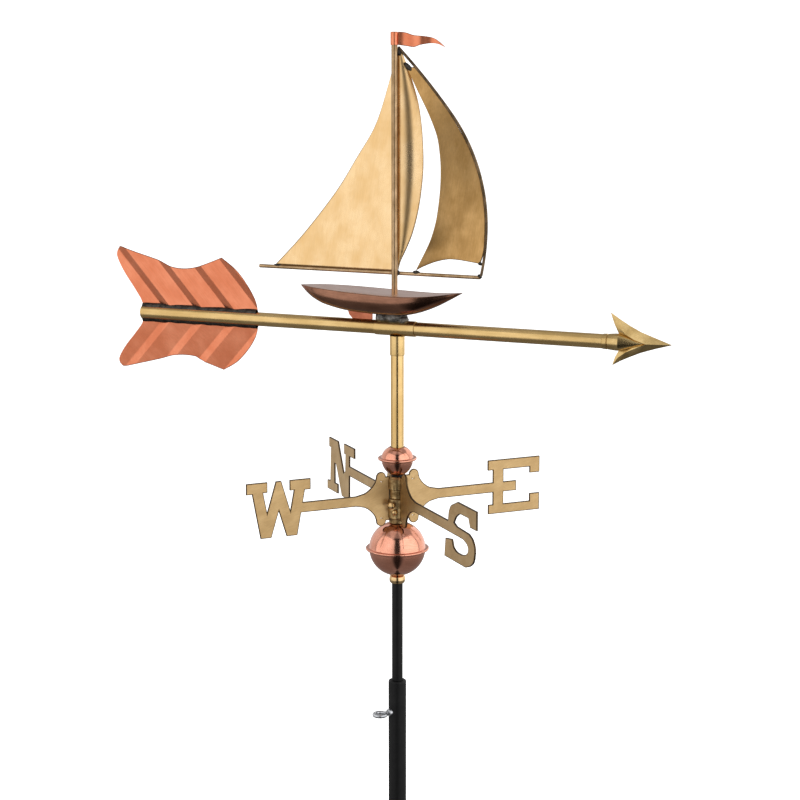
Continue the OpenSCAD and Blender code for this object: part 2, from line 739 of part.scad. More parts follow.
module jib() {
    across = 12;
    up = 30;
    n = across + 1;
    side = n * (up + 1);
    points = [for (y = [-sheet / 2, sheet / 2], j = [0:up], i = [0:across])
        jib_point(i / across, j / up) + [0, y, 0]];
    panels = [for (j = [0:up - 1], i = [0:across - 1]) let (a = j * n + i) each [
        [a, a + n, a + n + 1], [a, a + n + 1, a + 1],
        [side + a, side + a + n + 1, side + a + n], [side + a, side + a + 1, side + a + n + 1]]];
    ends = [for (i = [0:across - 1], row = [0, up]) let (a = row * n + i, b = row == 0 ? a + 1 : a,
                                                         c = row == 0 ? a : a + 1)
        each [[c, b, side + b], [c, side + b, side + c]]];
    edges = [for (j = [0:up - 1], col = [0, across]) let (a = j * n + col, b = col == 0 ? a : a + n,
                                                          c = col == 0 ? a + n : a)
        each [[c, b, side + b], [c, side + b, side + c]]];
    color("peru") on_arrow() difference() {
        polyhedron(points = points, faces = concat(panels, ends, edges));
        stay_clearance();
    }
}

// Small copper tube on the mast's top
sleeve_d = 7;
flag_low = 250.5;
flag_high = 262;

module pennant_sleeve() {
    color("coral") on_arrow() translate([mast_x, 0, flag_low]) difference() {
        cylinder(d = sleeve_d, h = flag_high - flag_low);
        translate([0, 0, -over]) cylinder(d = mast_d + 2 * gap, h = mast_top - flag_low + over);
    }
}

// Waving streamer
module pennant() {
    wave_depth = 1.8;
    wave_length = 26;
    start_x = mast_x + sleeve_d / 2 - 0.4;
    xs = [for (x = [start_x:1.5:46]) x];
    function sway(x) = wave_depth * sin((x - start_x) * 360 / wave_length);
    color("coral") on_arrow() difference() {
        intersection() {
            upright(20) polygon(concat(
                smooth([[start_x, flag_high], [7, 261.4], [15, 259.4], [25, 258.6], [33, 257],
                        [40, 253.4], [45, 249.8]]),
                smooth([[45, 249.4], [38, 251.8], [30, 252.2], [22, 250.8], [16, 248.9],
                        [8, 249.6], [start_x, flag_low]])));
            linear_extrude(280) polygon(concat(
                [for (x = xs) [x, sway(x) + sheet / 2]],
                [for (i = [len(xs) - 1:-1:0]) [xs[i], sway(xs[i]) - sheet / 2]]));
        }
        translate([mast_x, 0, 240]) cylinder(d = sleeve_d, h = 30);
    }
}

// Solder at the rig's joints: masthead, boom crossing, clew, tack, and the main sail's corner
rig_spots = [
    [[mast_x + 1.4, 3.6, 245.5], 3.6],
    [[mast_x, 3.4, boom_z + 0.4], 4.6],
    [[15.6, rig_y, boom_z + 2], 2.9],
    [[76, rig_y, boom_z + 1.4], 2.6],
    [[74.6, rig_y + 0.4, 61], 2.2],
    [[8.8, rig_y - 0.6, 231], 2.9],
    [[-119.8, rig_y, boom_z + 1.4], 2.8]];

module rig_joints() {
    color("dimgray") on_arrow() for (spot = rig_spots) translate(spot[0]) sphere(r = spot[1]);
}

ground_stake();
socket_tube();
eye_screw_nut();
eye_screw();
support_rod();
bead_collar();
large_ball_lower();
large_ball_upper();
small_ball_lower();
small_ball_upper();
compass_hub();
hub_set_screws();
arm_screws();
arm_north();
arm_east();
arm_south();
arm_west();
spindle_tube();
bearing_ball();
thrust_plug();
tee_fitting();
arrow_tube_tail();
arrow_tube_head();
tail_plug();
tail_fin_upper();
tail_fin_lower();
tail_seams();
arrowhead_socket();
arrowhead();
hull_saddle();
keel_fin();
hull_shell();
deck_plate();
mast();
boom();
forestay();
mainsail();
jib();
pennant();
pennant_sleeve();
rig_joints();
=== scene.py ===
# Looks of the sailing boat weather vane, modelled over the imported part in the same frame.
# Pieces of the turning vane are drawn in millimetres along the arrow, then turned to its rest heading.
import bpy
import bmesh
from math import asin, cos, hypot, pi, radians, sin, tan
from mathutils import Matrix, Vector, noise


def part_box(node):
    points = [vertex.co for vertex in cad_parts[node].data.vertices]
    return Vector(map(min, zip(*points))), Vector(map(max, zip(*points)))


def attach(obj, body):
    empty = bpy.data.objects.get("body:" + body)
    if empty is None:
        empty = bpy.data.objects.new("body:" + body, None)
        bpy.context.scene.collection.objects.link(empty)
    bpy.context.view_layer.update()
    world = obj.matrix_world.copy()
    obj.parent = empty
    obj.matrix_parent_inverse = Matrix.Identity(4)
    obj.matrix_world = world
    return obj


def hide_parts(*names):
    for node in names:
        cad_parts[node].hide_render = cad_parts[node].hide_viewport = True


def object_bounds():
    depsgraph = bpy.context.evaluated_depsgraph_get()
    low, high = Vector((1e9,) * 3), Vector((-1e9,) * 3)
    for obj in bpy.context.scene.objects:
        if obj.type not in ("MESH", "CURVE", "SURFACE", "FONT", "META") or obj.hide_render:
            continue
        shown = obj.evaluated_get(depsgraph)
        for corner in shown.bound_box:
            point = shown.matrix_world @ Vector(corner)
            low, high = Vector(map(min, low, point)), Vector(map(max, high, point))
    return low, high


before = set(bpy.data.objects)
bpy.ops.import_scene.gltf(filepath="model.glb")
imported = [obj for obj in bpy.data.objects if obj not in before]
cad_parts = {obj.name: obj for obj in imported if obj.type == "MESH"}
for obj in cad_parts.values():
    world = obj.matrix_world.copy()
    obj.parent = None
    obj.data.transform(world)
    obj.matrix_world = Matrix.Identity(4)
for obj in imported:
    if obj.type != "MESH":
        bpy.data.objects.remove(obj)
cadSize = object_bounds()
print("stage: packed part loaded")

mm = 0.001

# Where things are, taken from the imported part

restHeading = radians(-45)     # from east towards north, the arrow's heading at rest


def levels(node):
    low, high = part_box(node)
    return low.z / mm, high.z / mm


tubeLow, tubeHigh = levels("arrow_tube_tail")
arrowZ = (tubeLow + tubeHigh) / 2
turnToRest = Matrix.Rotation(restHeading, 4, "Z")
toVane = turnToRest @ Matrix.Translation((0, 0, arrowZ * mm)) @ Matrix.Scale(mm, 4)
toGround = Matrix.Scale(mm, 4)


# Lowest and highest corner of a node in the arrow's own frame, in millimetres.
def vaneBox(node):
    back = toVane.inverted()
    points = [back @ v.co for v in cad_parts[node].data.vertices]
    low = Vector([min(p[k] for p in points) for k in range(3)])
    high = Vector([max(p[k] for p in points) for k in range(3)])
    return low, high


# Small geometry helpers

# Point at share t between p1 and p2 on a smooth curve.
def curvePoint(p0, p1, p2, p3, t):
    return [0.5 * (2 * b + (c - a) * t + (2 * a - 5 * b + 4 * c - d) * t * t
                   + (3 * b - a - 3 * c + d) * t * t * t) for a, b, c, d in zip(p0, p1, p2, p3)]


# Smooth open curve through key points.
def smoothCurve(keys, steps=6):
    last = len(keys) - 1
    points = []
    for i in range(last):
        for s in range(steps):
            points.append(curvePoint(keys[max(i - 1, 0)], keys[i], keys[i + 1],
                                     keys[min(i + 2, last)], s / steps))
    return points + [list(keys[last])]


# Point at share t of an evenly numbered list of points.
def alongCurve(points, t):
    place = min(max(t, 0), 1) * (len(points) - 1)
    i = min(int(place), len(points) - 2)
    part = place - i
    return [a + (b - a) * part for a, b in zip(points[i], points[i + 1])]


# What a curve gives on one axis where it passes a value on the other.
def crossing(curve, at, find, give):
    for a, b in zip(curve, curve[1:]):
        if a[find] <= at <= b[find]:
            return a[give] + (b[give] - a[give]) * (at - a[find]) / max(b[find] - a[find], 1e-6)
    return curve[-1][give] if at > curve[-1][find] else curve[0][give]


# Smooth value of a table of (x, value) rows.
def tableAt(table, x):
    if x <= table[0][0]:
        return table[0][1]
    if x >= table[-1][0]:
        return table[-1][1]
    i = max(k for k in range(len(table) - 1) if table[k][0] <= x)
    x0, y0 = table[i]
    x1, y1 = table[i + 1]
    before = table[i - 1] if i > 0 else table[i]
    after = table[i + 2] if i + 2 < len(table) else table[i + 1]
    slopeIn = (y1 - before[1]) / (x1 - before[0])
    slopeOut = (after[1] - y0) / (after[0] - x0)
    t = (x - x0) / (x1 - x0)
    w = x1 - x0
    return ((2 * t**3 - 3 * t**2 + 1) * y0 + (t**3 - 2 * t**2 + t) * w * slopeIn
            + (3 * t**2 - 2 * t**3) * y1 + (t**3 - t**2) * w * slopeOut)


# The profile with each corner eased by about the given radius.
def softCorners(profile, radius, steps=3, closed=False):
    eased = []
    last = len(profile) - 1
    for i, corner in enumerate(profile):
        if not closed and i in (0, last):
            eased.append(corner)
            continue
        before, after = Vector(profile[i - 1]), Vector(profile[(i + 1) % len(profile)])
        here = Vector(corner)
        turn = (before - here).angle(after - here, pi)
        if turn > radians(168):
            eased.append(corner)
            continue
        back = min(radius, (before - here).length * 0.45)
        ahead = min(radius, (after - here).length * 0.45)
        start = here + (before - here).normalized() * back
        end = here + (after - here).normalized() * ahead
        for s in range(steps + 1):
            t = s / steps
            eased.append(tuple((1 - t) ** 2 * start + 2 * t * (1 - t) * here + t * t * end))
    return eased


# Turns a profile of (radius, height) about the upright axis.
def lathe(profile, steps=72, closed=False):
    bm = bmesh.new()
    verts = [bm.verts.new((r, 0, z)) for r, z in profile]
    pairs = list(zip(verts, verts[1:])) + ([(verts[-1], verts[0])] if closed else [])
    edges = [bm.edges.new(pair) for pair in pairs]
    bmesh.ops.spin(bm, geom=verts + edges, cent=(0, 0, 0), axis=(0, 0, 1),
                   angle=2 * pi, steps=steps, use_merge=True)
    bmesh.ops.remove_doubles(bm, verts=bm.verts, dist=1e-4)
    bmesh.ops.recalc_face_normals(bm, faces=bm.faces)
    return bm


def turned(bm, degrees, axis):
    bm.transform(Matrix.Rotation(radians(degrees), 4, axis))
    return bm


# Lays what was turned about the upright axis along the arrow.
def lengthwise(bm):
    return turned(bm, 90, "Y")


def moved(bm, x, y, z):
    bm.transform(Matrix.Translation((x, y, z)))
    return bm


# All the parts' faces in the first part's mesh.
def joined(*parts):
    whole = parts[0]
    for part in parts[1:]:
        spare = bpy.data.meshes.new("spare")
        part.to_mesh(spare)
        part.free()
        whole.from_mesh(spare)
        bpy.data.meshes.remove(spare)
    return whole


# A round bar of the given radius, or list of radii, along a path of points.
def sweep(path, radius, sides=18):
    path = [Vector(p) for p in path]
    radii = radius if isinstance(radius, list) else [radius] * len(path)
    bm = bmesh.new()
    bmesh.ops.create_circle(bm, cap_ends=False, radius=1, segments=sides)
    heading = (path[1] - path[0]).normalized()
    turn = heading.to_track_quat("Z", "X").to_matrix().to_4x4()
    placed = Matrix.Identity(4)
    edges = bm.edges[:]
    verts = bm.verts[:]
    for i, point in enumerate(path):
        if i > 0:
            grown = bmesh.ops.extrude_edge_only(bm, edges=edges)["geom"]
            verts = [g for g in grown if isinstance(g, bmesh.types.BMVert)]
            edges = [g for g in grown if isinstance(g, bmesh.types.BMEdge)
                     and all(v in verts for v in g.verts)]
        ahead = path[min(i + 1, len(path) - 1)] - path[max(i - 1, 0)]
        turn = heading.rotation_difference(ahead.normalized()).to_matrix().to_4x4() @ turn
        heading = ahead.normalized()
        goal = Matrix.Translation(point) @ turn @ Matrix.Scale(radii[i], 4)
        bmesh.ops.transform(bm, matrix=goal @ placed.inverted(), verts=verts)
        placed = goal
    bmesh.ops.holes_fill(bm, edges=bm.edges, sides=0)
    bmesh.ops.recalc_face_normals(bm, faces=bm.faces)
    return bm


# A grid bent to a shape: shape(s, t) gives the point at shares s and t.
def sheetOf(shape, across, along):
    bm = bmesh.new()
    bmesh.ops.create_grid(bm, x_segments=across, y_segments=along, size=1)
    reach = max(v.co.x for v in bm.verts)
    for v in bm.verts:
        v.co = shape((v.co.x / reach + 1) / 2, (v.co.y / reach + 1) / 2)
    return bm


# A blob of solder: a ball, stretched and made a little uneven.
def lump(centre, size, seed, unevenness=0.1, fineness=4):
    bm = bmesh.new()
    bmesh.ops.create_icosphere(bm, subdivisions=fineness, radius=1)
    for v in bm.verts:
        swell = noise.noise(v.co * 1.7 + Vector((seed, 0, 0)))
        swell += 0.5 * noise.noise(v.co * 4 - Vector((0, seed, 0)))
        v.co *= 1 - unevenness + unevenness * swell
        v.co = Vector([v.co[k] * size[k] + centre[k] for k in range(3)])
    return bm


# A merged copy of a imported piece's mesh, with its flat faces whole again, in its own place.
def copyOf(node, tidyAngle=3):
    bm = bmesh.new()
    bm.from_mesh(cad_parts[node].data)
    bmesh.ops.remove_doubles(bm, verts=bm.verts, dist=1e-6)
    bmesh.ops.dissolve_limit(bm, angle_limit=radians(tidyAngle), verts=bm.verts, edges=bm.edges)
    bmesh.ops.recalc_face_normals(bm, faces=bm.faces)
    return bm


# Finishes

# What a user would change in a finish. Lengths are in millimetres and colours are linear.
# colour: clean metal; aged: where it has toned; agedShare: how much of it has toned;
# patch: size of the toned patches; edge: the colour of cut edges, where they stay dark;
# roughness: of the brightest places, and spread: how much duller it gets where it has toned;
# grain: how far apart the brush lines are and how long; grainTurn: the lines' direction about
# the upright axis, in degrees, and grainLift: above level; streak: how much they shade the
# colour; bump: how strongly they stand out; metallic and gloss: only for a coat that isn't metal
finishes = {
    "tube_brass": dict(
        colour=(0.69, 0.485, 0.22), aged=(0.54, 0.36, 0.14), agedShare=0.35, patch=26,
        roughness=0.22, spread=0.07, grain=(0.6, 40), grainTurn=-45, grainLift=0, bump=0.02),
    "spindle_brass": dict(
        colour=(0.70, 0.49, 0.225), aged=(0.55, 0.36, 0.14), agedShare=0.35, patch=24,
        roughness=0.15, spread=0.05, grain=(0.6, 36), grainLift=90, bump=0.02),
    "cast_brass": dict(
        colour=(0.57, 0.395, 0.195), aged=(0.49, 0.325, 0.15), agedShare=0.4, patch=15,
        roughness=0.36, spread=0.06, grain=(0.4, 9), grainLift=20, bump=0.05, edge=(0.075, 0.046, 0.022)),
    "hub_brass": dict(
        colour=(0.55, 0.38, 0.18), aged=(0.19, 0.115, 0.045), agedShare=0.5, patch=6,
        roughness=0.28, spread=0.12, grain=(0.3, 5), bump=0.05),
    "polished_brass": dict(
        colour=(0.80, 0.585, 0.33), aged=(0.58, 0.38, 0.17), agedShare=0.3, patch=8,
        roughness=0.14, spread=0.06, grain=(0.4, 4), bump=0.02),
    "head_bronze": dict(
        colour=(0.66, 0.48, 0.225), aged=(0.50, 0.34, 0.135), agedShare=0.35, patch=12,
        roughness=0.2, spread=0.07, grain=(0.5, 12), grainTurn=-45, grainLift=30, bump=0.02),
    "rig_brass": dict(
        colour=(0.52, 0.36, 0.21), aged=(0.30, 0.19, 0.095), agedShare=0.4, patch=12,
        roughness=0.26, spread=0.09, grain=(0.5, 20), grainLift=90, bump=0.03),
    "stay_brass": dict(
        colour=(0.20, 0.135, 0.078), aged=(0.07, 0.048, 0.028), agedShare=0.5, patch=9,
        roughness=0.3, spread=0.1, grain=(0.5, 12), grainLift=45, bump=0.04),
    "sail_brass": dict(
        colour=(0.80, 0.575, 0.32), aged=(0.70, 0.455, 0.205), agedShare=0.5, patch=22,
        roughness=0.25, spread=0.04, grain=(0.8, 18), grainTurn=-45, grainLift=80, bump=0.008,
        streak=0.35, edge=(0.13, 0.08, 0.04)),
    "jib_brass": dict(
        colour=(0.62, 0.375, 0.15), aged=(0.44, 0.25, 0.085), agedShare=0.5, patch=20,
        roughness=0.32, spread=0.08, grain=(0.7, 20), grainTurn=-45, grainLift=80, bump=0.025,
        streak=0.6, edge=(0.10, 0.062, 0.03)),
    "fin_copper": dict(
        colour=(0.74, 0.265, 0.145), aged=(0.64, 0.195, 0.095), agedShare=0.4, patch=20,
        roughness=0.29, spread=0.06, grain=(0.6, 20), grainTurn=-45, grainLift=-49, bump=0.015,
        streak=0.5, edge=(0.16, 0.058, 0.034)),
    # The keel's finish is the fin copper made darker: painted shade for the shadow the keel sits in
    "keel_fin_copper_painted_shade": dict(
        colour=(0.50, 0.165, 0.09), aged=(0.33, 0.10, 0.055), agedShare=0.5, patch=9,
        roughness=0.3, spread=0.07, grain=(0.6, 14), grainTurn=-45, grainLift=0, bump=0.02),
    "copper_ball": dict(
        colour=(0.84, 0.41, 0.29), aged=(0.70, 0.30, 0.20), agedShare=0.3, patch=20,
        roughness=0.12, spread=0.05, grain=(0.8, 14), bump=0.007),
    "hull_copper": dict(
        colour=(0.31, 0.15, 0.096), aged=(0.20, 0.094, 0.058), agedShare=0.45, patch=26,
        roughness=0.15, spread=0.06, grain=(0.8, 24), grainTurn=-45, grainLift=0, bump=0.012),
    "deck_copper": dict(
        colour=(0.80, 0.58, 0.50), aged=(0.68, 0.47, 0.40), agedShare=0.4, patch=18,
        roughness=0.26, spread=0.07, grain=(0.6, 24), grainTurn=-45, grainLift=0, bump=0.02),
    "zinc": dict(
        colour=(0.66, 0.67, 0.69), aged=(0.4, 0.41, 0.43), agedShare=0.35, patch=3,
        roughness=0.24, spread=0.1, grain=(0.3, 3), bump=0.04),
    "bearing_steel": dict(
        colour=(0.62, 0.62, 0.64), aged=(0.45, 0.45, 0.47), agedShare=0.2, patch=3,
        roughness=0.12, spread=0.05, grain=(0.3, 3), bump=0.02),
    "solder": dict(
        colour=(0.085, 0.076, 0.066), aged=(0.028, 0.025, 0.023), agedShare=0.5, patch=3.5,
        roughness=0.42, spread=0.16, grain=(1.4, 1.8), bump=0.2),
    "lump_solder": dict(
        colour=(0.24, 0.225, 0.205), aged=(0.06, 0.055, 0.05), agedShare=0.5, patch=4,
        roughness=0.4, spread=0.16, grain=(1.4, 1.8), bump=0.25),
    "black_steel": dict(
        colour=(0.007, 0.007, 0.0072), aged=(0.004, 0.004, 0.0042), agedShare=0.4, patch=9,
        roughness=0.4, spread=0.08, grain=(0.9, 1.2), bump=0.05, metallic=0, gloss=0.2)}


# Takes a node's value from one range to another, eased or straight.
def ranged(tree, value, low, high, toLow, toHigh, kind="SMOOTHSTEP"):
    scale = tree.nodes.new("ShaderNodeMapRange")
    scale.interpolation_type = kind
    for socket, number in (("From Min", low), ("From Max", high), ("To Min", toLow), ("To Max", toHigh)):
        scale.inputs[socket].default_value = number
    tree.links.new(value, scale.inputs["Value"])
    return scale.outputs["Result"]


# A metal or coat whose tone, sheen and fine relief all vary over its surface.
def makeFinish(name, look):
    material = bpy.data.materials.new(name)
    material.use_nodes = True
    tree = material.node_tree
    shader = tree.nodes["Principled BSDF"]
    shader.inputs["Metallic"].default_value = look.get("metallic", 1)
    shader.inputs["Specular IOR Level"].default_value = look.get("gloss", 0.5)
    coords = tree.nodes.new("ShaderNodeTexCoord")

    def link(out, into):
        tree.links.new(out, into)

    # Noise with features of the given size, drawn out along a direction
    def textured(size, stretch, turn, lift, detail, rough):
        level = tree.nodes.new("ShaderNodeMapping")
        level.vector_type = "TEXTURE"
        level.inputs["Rotation"].default_value = (0, radians(-lift), radians(turn))
        level.inputs["Scale"].default_value = (stretch * mm, size * mm, size * mm)
        link(coords.outputs["Object"], level.inputs["Vector"])
        pattern = tree.nodes.new("ShaderNodeTexNoise")
        pattern.inputs["Scale"].default_value = 1
        pattern.inputs["Detail"].default_value = detail
        pattern.inputs["Roughness"].default_value = rough
        link(level.outputs["Vector"], pattern.inputs["Vector"])
        return pattern.outputs["Fac"]

    def blended(kind, share, first, second):
        mix = tree.nodes.new("ShaderNodeMix")
        mix.data_type = "RGBA"
        mix.blend_type = kind
        for socket, value in ((mix.inputs[0], share), (mix.inputs[6], first), (mix.inputs[7], second)):
            if isinstance(value, (int, float)):
                socket.default_value = value
            elif isinstance(value, tuple):
                socket.default_value = (*value, 1)
            else:
                link(value, socket)
        return mix.outputs[2]

    grainSize, grainLength = look["grain"]
    turn, lift = look.get("grainTurn", 0), look.get("grainLift", 0)
    grain = textured(grainSize, grainLength, turn, lift, 3, 0.6)
    patches = textured(look["patch"], look["patch"] * 1.6, turn, lift, 5, 0.62)
    middle = 0.5 + (0.5 - look["agedShare"]) * 0.3       # where the patches turn from aged to clean
    toned = ranged(tree, patches, middle - 0.2, middle + 0.22, 0, 1)
    colour = blended("MIX", toned, look["aged"], look["colour"])
    streaks = ranged(tree, grain, 0.3, 0.7, 0.86, 1.08)
    shade = tree.nodes.new("ShaderNodeCombineColor")
    for socket in ("Red", "Green", "Blue"):
        link(streaks, shade.inputs[socket])
    colour = blended("MULTIPLY", look.get("streak", 0.8), colour, shade.outputs["Color"])
    if "edge" in look:                   # each piece marks its cut edges itself
        side = tree.nodes.new("ShaderNodeAttribute")
        side.attribute_name = "side"
        colour = blended("MIX", side.outputs["Fac"], colour, look["edge"])
    link(colour, shader.inputs["Base Color"])
    sheen = ranged(tree, patches, 0.3, 0.7, look["roughness"] + look["spread"], look["roughness"])
    fine = tree.nodes.new("ShaderNodeMath")
    fine.operation = "MULTIPLY_ADD"
    fine.inputs[1].default_value = look["spread"] * 0.5
    link(grain, fine.inputs[0])
    link(sheen, fine.inputs[2])
    link(fine.outputs["Value"], shader.inputs["Roughness"])
    relief = tree.nodes.new("ShaderNodeBump")
    relief.inputs["Strength"].default_value = look["bump"]
    relief.inputs["Distance"].default_value = 0.2 * mm
    link(grain, relief.inputs["Height"])
    link(relief.outputs["Normal"], shader.inputs["Normal"])
    return material


materials = {name: makeFinish(name, look) for name, look in finishes.items()}
print("stage: finishes made")

# Finishes that share another one's slot
# the keel's copper is the fin copper with painted shade
recordSlots = {"spindle_brass": "tube_brass", "lump_solder": "solder", "keel_fin_copper_painted_shade": "fin_copper"}


# A finished piece from its mesh: placed, shaded, and put on its body, with the imported part it stands for
# hidden.
# An open sheet gets its thickness here, and its rim is marked as a cut edge.
def addPiece(name, bm, look, body, nodes, place=None, smoothAngle=35, thickness=0, bevel=0,
             bevelAngle=30):
    if place is not None:
        bm.transform(place)
    if thickness and "edge" in finishes[look]:
        side = bm.verts.layers.float.new("side")
        for v in bm.verts:
            v[side] = float(v.is_boundary)
    mesh = bpy.data.meshes.new(name)
    bm.to_mesh(mesh)
    bm.free()
    mesh.materials.append(materials[look])
    mesh.shade_smooth()
    mesh.set_sharp_from_angle(angle=radians(smoothAngle))
    piece = bpy.data.objects.new(name, mesh)
    bpy.context.scene.collection.objects.link(piece)
    if thickness:
        shell = piece.modifiers.new("thickness", "SOLIDIFY")
        shell.thickness = thickness * mm
        shell.offset = 0
    if bevel:
        soft = piece.modifiers.new("soft edges", "BEVEL")
        soft.width = bevel * mm
        soft.segments = 2
        soft.limit_method = "ANGLE"
        soft.angle_limit = radians(bevelAngle)
        soft.harden_normals = True
    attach(piece, body)
    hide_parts(*nodes)
    recordSlots.get(look, look)
    return piece


# A thin sheet of the vane, bent to a shape in the arrow's own frame.
def addSheet(name, shape, across, along, look, node, thickness, smoothAngle=50):
    sheet = sheetOf(shape, across, along)
    bmesh.ops.recalc_face_normals(sheet, faces=sheet.faces)
    addPiece(name, sheet, look, "vane", [node], toVane, smoothAngle=smoothAngle, thickness=thickness)


# Pole

runGap = 0.08       # radial room on the rod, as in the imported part
fitGap = 0.05       # air between fitted pieces of one body
pole = dict(stakeTip=1, stakePoint=40, shoulderEase=0.6, spigotEase=1, stakeRound=0.5,
            mouthEase=0.3, lipRound=0.7, rodFootEase=0.8, rodTopEase=1.5, rodRound=0.5)
socketLow, socketHigh = levels("socket_tube")
stakeLow, stakeHigh = levels("ground_stake")
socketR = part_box("socket_tube")[1].x / mm
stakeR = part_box("ground_stake")[1].x / mm
rodLow, rodHigh = levels("support_rod")
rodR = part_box("support_rod")[1].x / mm
boreR = rodR + runGap

ease, spigotEase = pole["shoulderEase"], pole["spigotEase"]
stake = lathe(softCorners([(0, stakeLow), (pole["stakeTip"], stakeLow),
                           (stakeR, stakeLow + pole["stakePoint"]), (stakeR, -ease), (stakeR - ease, 0),
                           (rodR, 0), (rodR, stakeHigh - spigotEase), (rodR - spigotEase, stakeHigh),
                           (0, stakeHigh)], pole["stakeRound"]))
addPiece("groundStake", stake, "black_steel", "pole", ["ground_stake"], toGround)

# The lower tube's rolled lip is taken down towards the rod
ease = pole["mouthEase"]
socket = lathe(softCorners([(boreR, socketLow), (socketR - ease, socketLow), (socketR, socketLow + ease),
                            (socketR, socketHigh - 1), (socketR - 0.5, socketHigh - 0.25),
                            (socketR - 1.4, socketHigh), (boreR + 0.5, socketHigh),
                            (boreR, socketHigh - 0.5)], pole["lipRound"], closed=True),
               steps=96, closed=True)
addPiece("socketTube", socket, "black_steel", "pole", ["socket_tube"], toGround)

footEase, topEase = pole["rodFootEase"], pole["rodTopEase"]
rod = lathe(softCorners([(0, rodLow), (rodR - footEase, rodLow), (rodR, rodLow + footEase),
                         (rodR, rodHigh - topEase), (rodR - topEase, rodHigh), (0, rodHigh)],
                        pole["rodRound"]))
addPiece("supportRod", rod, "black_steel", "rod", ["support_rod"], toGround)

# The eye screw: a shank with thread grooves, a ring bent from wire, and a round lock nut
eye = dict(heading=192, shankD=4, wireD=1.9, ringR=5.3, ringAt=19.6, threadPitch=0.7, threadDepth=0.22,
           plainEnd=2, nutD=7, nutT=2.6, nutEase=0.7, nutSunk=1.2)
eyeZ = sum(levels("eye_screw")) / 2
toEye = toGround @ Matrix.Translation((0, 0, eyeZ)) @ Matrix.Rotation(radians(eye["heading"]), 4, "Z")
shankR = eye["shankD"] / 2
shankStart, shankEnd = rodR + fitGap, eye["ringAt"] - eye["ringR"] + 0.3
threads = [(0, shankStart), (shankR - 0.4, shankStart)]
place = shankStart + 0.3
while place < shankEnd - eye["plainEnd"] - 0.2:
    threads += [(shankR - eye["threadDepth"], place), (shankR, place + eye["threadPitch"] / 2)]
    place += eye["threadPitch"]
threads += [(shankR, shankEnd - eye["plainEnd"]), (shankR - 0.5, shankEnd - 0.6),
            (shankR - 1.1, shankEnd + 0.4), (0, shankEnd + 0.4)]
shank = lengthwise(lathe(threads, steps=32))
wireR = eye["wireD"] / 2
ringLook = [(eye["ringR"] + wireR * 2 * cos(a), wireR * 2 * sin(a))
            for a in [radians(12 * k) for k in range(30)]]
ring = moved(lathe(ringLook, steps=64, closed=True), eye["ringAt"], 0, 0)
addPiece("eyeScrew", joined(ring, shank), "zinc", "eye_screw", ["eye_screw"], toEye)

nutR, nutEase = eye["nutD"] / 2, eye["nutEase"]
nutFoot, nutTop = socketR - eye["nutSunk"], socketR + eye["nutT"]
nut = lathe(softCorners([(shankR + fitGap, nutFoot), (nutR, nutFoot), (nutR, nutTop - nutEase),
                         (nutR - nutEase, nutTop), (shankR + 0.4, nutTop), (shankR + fitGap, nutTop - 0.4)],
                        0.3, closed=True), steps=48, closed=True)
addPiece("eyeScrewNut", lengthwise(nut), "zinc", "pole", ["eye_screw_nut"], toEye)

# Rod's bead and the two balls

bead = dict(swell=1.6, face=1.9, land=0.25)        # bulge, end faces' step and the flat at each end
beadLow, beadHigh = levels("bead_collar")
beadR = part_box("bead_collar")[1].x / mm
beadMid, beadHalf = (beadLow + beadHigh) / 2, (beadHigh - beadLow) / 2
swell, face, land = bead["swell"], bead["face"], bead["land"]
beadLook = [(rodR + fitGap, beadLow), (beadR - face, beadLow), (beadR - swell, beadLow + land)]
beadLook += [(beadR - swell + swell * cos(radians(a)),
              beadMid + (beadHalf - land) * sin(radians(a))) for a in range(-80, 81, 10)]
beadLook += [(beadR - swell, beadHigh - land), (beadR - face, beadHigh), (rodR + fitGap, beadHigh)]
addPiece("beadCollar", lathe(beadLook, closed=True), "polished_brass", "rod", ["bead_collar"], toGround)

# rim is the rolled seam's radius and seam half its height. holes and crowns are the holes' radii and
# the heights of the lower and the upper cup.
balls = {
    "largeBall": dict(nodes=("large_ball_lower", "large_ball_upper"), radius=25.8, rim=29.0, wall=0.9,
                      seam=1.1, holes=(5.05, 5.05), crowns=(25.5, 25.0)),
    "smallBall": dict(nodes=("small_ball_lower", "small_ball_upper"), radius=14.5, rim=17.7, wall=0.9,
                      seam=1.1, holes=(5.05, 6.6), crowns=(16.3, 12.0))}


# Profile of one spun cup, from its hole, down its outside, round the rolled rim and back inside.
def ballHalf(look, up):
    hole = look["holes"][up]
    crown = look["crowns"][up]
    radius, wall, seam, rim = look["radius"], look["wall"], look["seam"], look["rim"]
    outside = []
    for step in range(0, 46):
        a = radians(90 - 2 * step)
        r = radius * cos(a)
        if r > hole + 0.1:
            outside.append((r, max(crown * sin(a), seam)))
    start = (hole, outside[0][1] + 0.02)
    outside = [p for p in outside if p[1] > seam + 0.6]
    neck = [(radius + 0.25, seam + 0.12), (radius + 0.8, seam)]
    roll = [(rim - seam + seam * sin(radians(a)), seam * cos(radians(a)))
            for a in range(0, 91, 15)]
    inside = [(radius - wall, 0)]
    for step in range(45, -1, -3):
        a = radians(90 - 2 * step)
        r = (radius - wall) * cos(a)
        if r > hole + 0.1:
            inside.append((r, (crown - wall) * sin(a) + 0.001))
    end = (hole, inside[-1][1])
    return [start] + outside + neck + roll + inside + [end]


for name, look in balls.items():
    for up, node in enumerate(look["nodes"]):
        low, high = levels(node)
        profile = ballHalf(look, up)
        centre = low if up else high
        placed = [(r, centre + z if up else centre - z) for r, z in profile]
        piece = name + ("Upper" if up else "Lower")
        addPiece(piece, lathe(placed, steps=96, closed=True), "copper_ball", "rod", [node], toGround)
print("stage: pole, rod and balls")

# Compass

